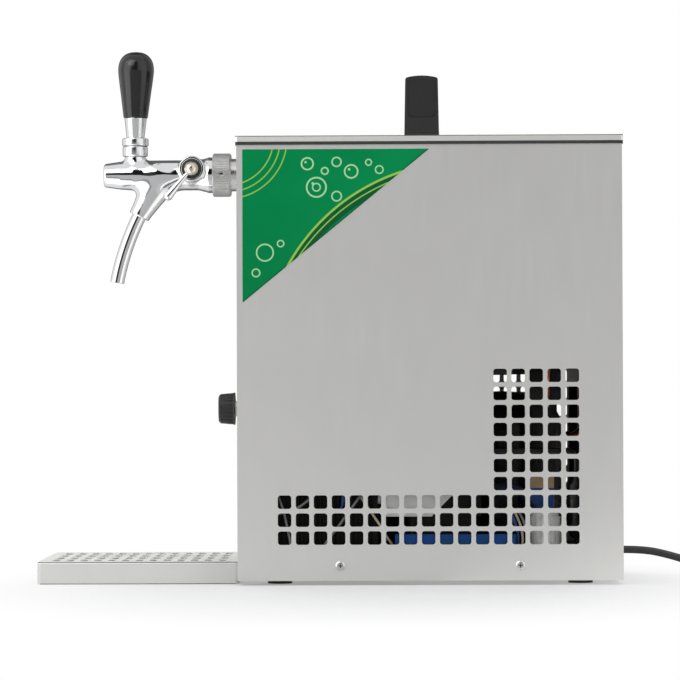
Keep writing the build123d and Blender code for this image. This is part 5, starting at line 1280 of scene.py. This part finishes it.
def buildGlow():
    # How bright the studio looks in a shiny surface, by direction.
    group, given, results = socketGroup("studioGlow", {"Direction": (0.0, -1.0, 0.0)}, ("Level",))
    right, back, up = splitAxes(group, vectorNode(group, "NORMALIZE", given["Direction"])[0])
    turn = mathNode(group, "ARCTAN2", right, mathNode(group, "MULTIPLY", back, -1.0))
    share = mapRange(group, turn, -math.pi, math.pi)
    levels = []
    for title in ("mirrorLow", "mirrorMiddle"):
        ramp = addNode(group, "ShaderNodeValToRGB", {0: share})
        stops = ramp.color_ramp.elements
        for number, (degrees, level) in enumerate(studio[title]):
            spot = (degrees + 180) / 360
            stop = stops[number] if number < 2 else stops.new(spot)
            stop.position = spot
            stop.color = (level, level, level, 1.0)
        levels.append(ramp.outputs[0])
    level = mapRange(group, up, 0.0, 0.02, *levels)
    above = mapRange(group, up, 0.0, 0.04)
    below = mapRange(group, up, *studio["gapTop"], 1.0, 0.0)
    aside = mathNode(group, "ABSOLUTE", mathNode(group, "ADD", turn, studio["gapLeft"]))
    facing = mapRange(group, aside, *studio["gapHalf"], 1.0, 0.0)
    gap = mathNode(group, "MULTIPLY", mathNode(group, "MULTIPLY", above, below), facing)
    keep = mapRange(group, gap, 0.0, 1.0, 1.0, studio["mirrorGap"])
    level = mathNode(group, "MULTIPLY", level, keep)
    behind = mapRange(group, back, -0.2, 0.35, 0.0, 0.36)  # the overhead part is smaller there
    lifted = mathNode(group, "SUBTRACT", up, behind)
    rise = mapRange(group, lifted, *studio["overheadFrom"], smooth=True)
    overhead = mathNode(group, "MULTIPLY", rise, studio["mirrorHigh"])
    low = mathNode(group, "MULTIPLY", level, mathNode(group, "SUBTRACT", 1.0, rise))
    feed(group, results["Level"], mathNode(group, "ADD", overhead, low))
    return group


def buildFloor():
    # Matt near the object, pure white to the camera further off.
    look, tree, shader = startMaterial("studioFloor", shine=0.25)
    feed(tree, shader["Base Color"], (*studio["floorTone"], 1.0))
    feed(tree, shader["Roughness"], 0.75)
    spot = objectSpot(tree)
    stretch = studio["fadeStretch"]
    shifts = [-middle * factor for middle, factor in zip(studio["fadeMiddle"], stretch)]
    sized = vectorNode(tree, "MULTIPLY_ADD", spot, (*stretch, 0.0), (*shifts, 0.0))[0]
    span = vectorNode(tree, "LENGTH", sized)["Value"]
    far = mapRange(
        tree, span, studio["fadeFrom"], studio["fadeTo"], studio["floorLift"], smooth=True
    )
    path = addNode(tree, "ShaderNodeLightPath").outputs
    seen = mathNode(tree, "MAXIMUM", path["Is Camera Ray"], path["Is Glossy Ray"])
    seen = mathNode(tree, "MAXIMUM", seen, path["Is Transmission Ray"])
    glow = useGroup(tree, glowGroup, {"Direction": spot})["Level"]
    mirrored = mathNode(tree, "MULTIPLY", glow, path["Is Glossy Ray"])
    plain = mathNode(tree, "SUBTRACT", 1.0, path["Is Glossy Ray"])
    strength = mathNode(tree, "ADD", plain, mirrored)
    white = addNode(tree, "ShaderNodeEmission", {"Color": (1, 1, 1, 1), "Strength": strength})
    matt = tree.nodes["Principled BSDF"].outputs[0]
    faded = mixShader(tree, mathNode(tree, "MULTIPLY", far, seen), matt, white.outputs[0])
    feed(tree, tree.nodes["Material Output"].inputs["Surface"], faded)
    mesh = bmesh.new()
    bmesh.ops.create_grid(mesh, x_segments=2, y_segments=2, size=studio["floorSize"] / 2)
    floor = putMesh("studioFloor", mesh, look, None, smooth=False)


def buildSurround():
    # White to the camera; matt surfaces and metal see a plain soft studio.
    world = bpy.data.worlds.new("studio")
    bpy.context.scene.world = world
    world.use_nodes = True
    tree = world.node_tree
    tree.nodes.clear()
    path = addNode(tree, "ShaderNodeLightPath").outputs
    direction = addNode(tree, "ShaderNodeTexCoord").outputs["Generated"]
    glow = useGroup(tree, glowGroup, {"Direction": direction})["Level"]
    mirror, soft, plain = [
        addNode(tree, "ShaderNodeBackground", {"Color": (1, 1, 1, 1), "Strength": level}).outputs[0]
        for level in (glow, studio["surroundLight"], 1.0)
    ]
    lit = mixShader(tree, path["Is Glossy Ray"], soft, mirror)
    direct = mathNode(tree, "MAXIMUM", path["Is Camera Ray"], path["Is Transmission Ray"])
    addNode(tree, "ShaderNodeOutputWorld", {"Surface": mixShader(tree, direct, lit, plain)})


def buildLamps():
    # Area lamps, each turned to its target.
    for name, (spot, target, width, tall, watts) in studio["lamps"].items():
        data = bpy.data.lights.new(name, "AREA")
        data.shape = "RECTANGLE"
        data.size = width
        data.size_y = tall
        data.energy = watts
        lamp = bpy.data.objects.new(name, data)
        bpy.context.collection.objects.link(lamp)
        lamp.location = spot
        lamp.visible_glossy = name in studio["mirroredLamps"]
        facing = Vector(target) - Vector(spot)
        lamp.rotation_euler = facing.to_track_quat("-Z", "Y").to_euler()


glowGroup = buildGlow()
buildFloor()
buildSurround()
buildLamps()
print("studio lit")
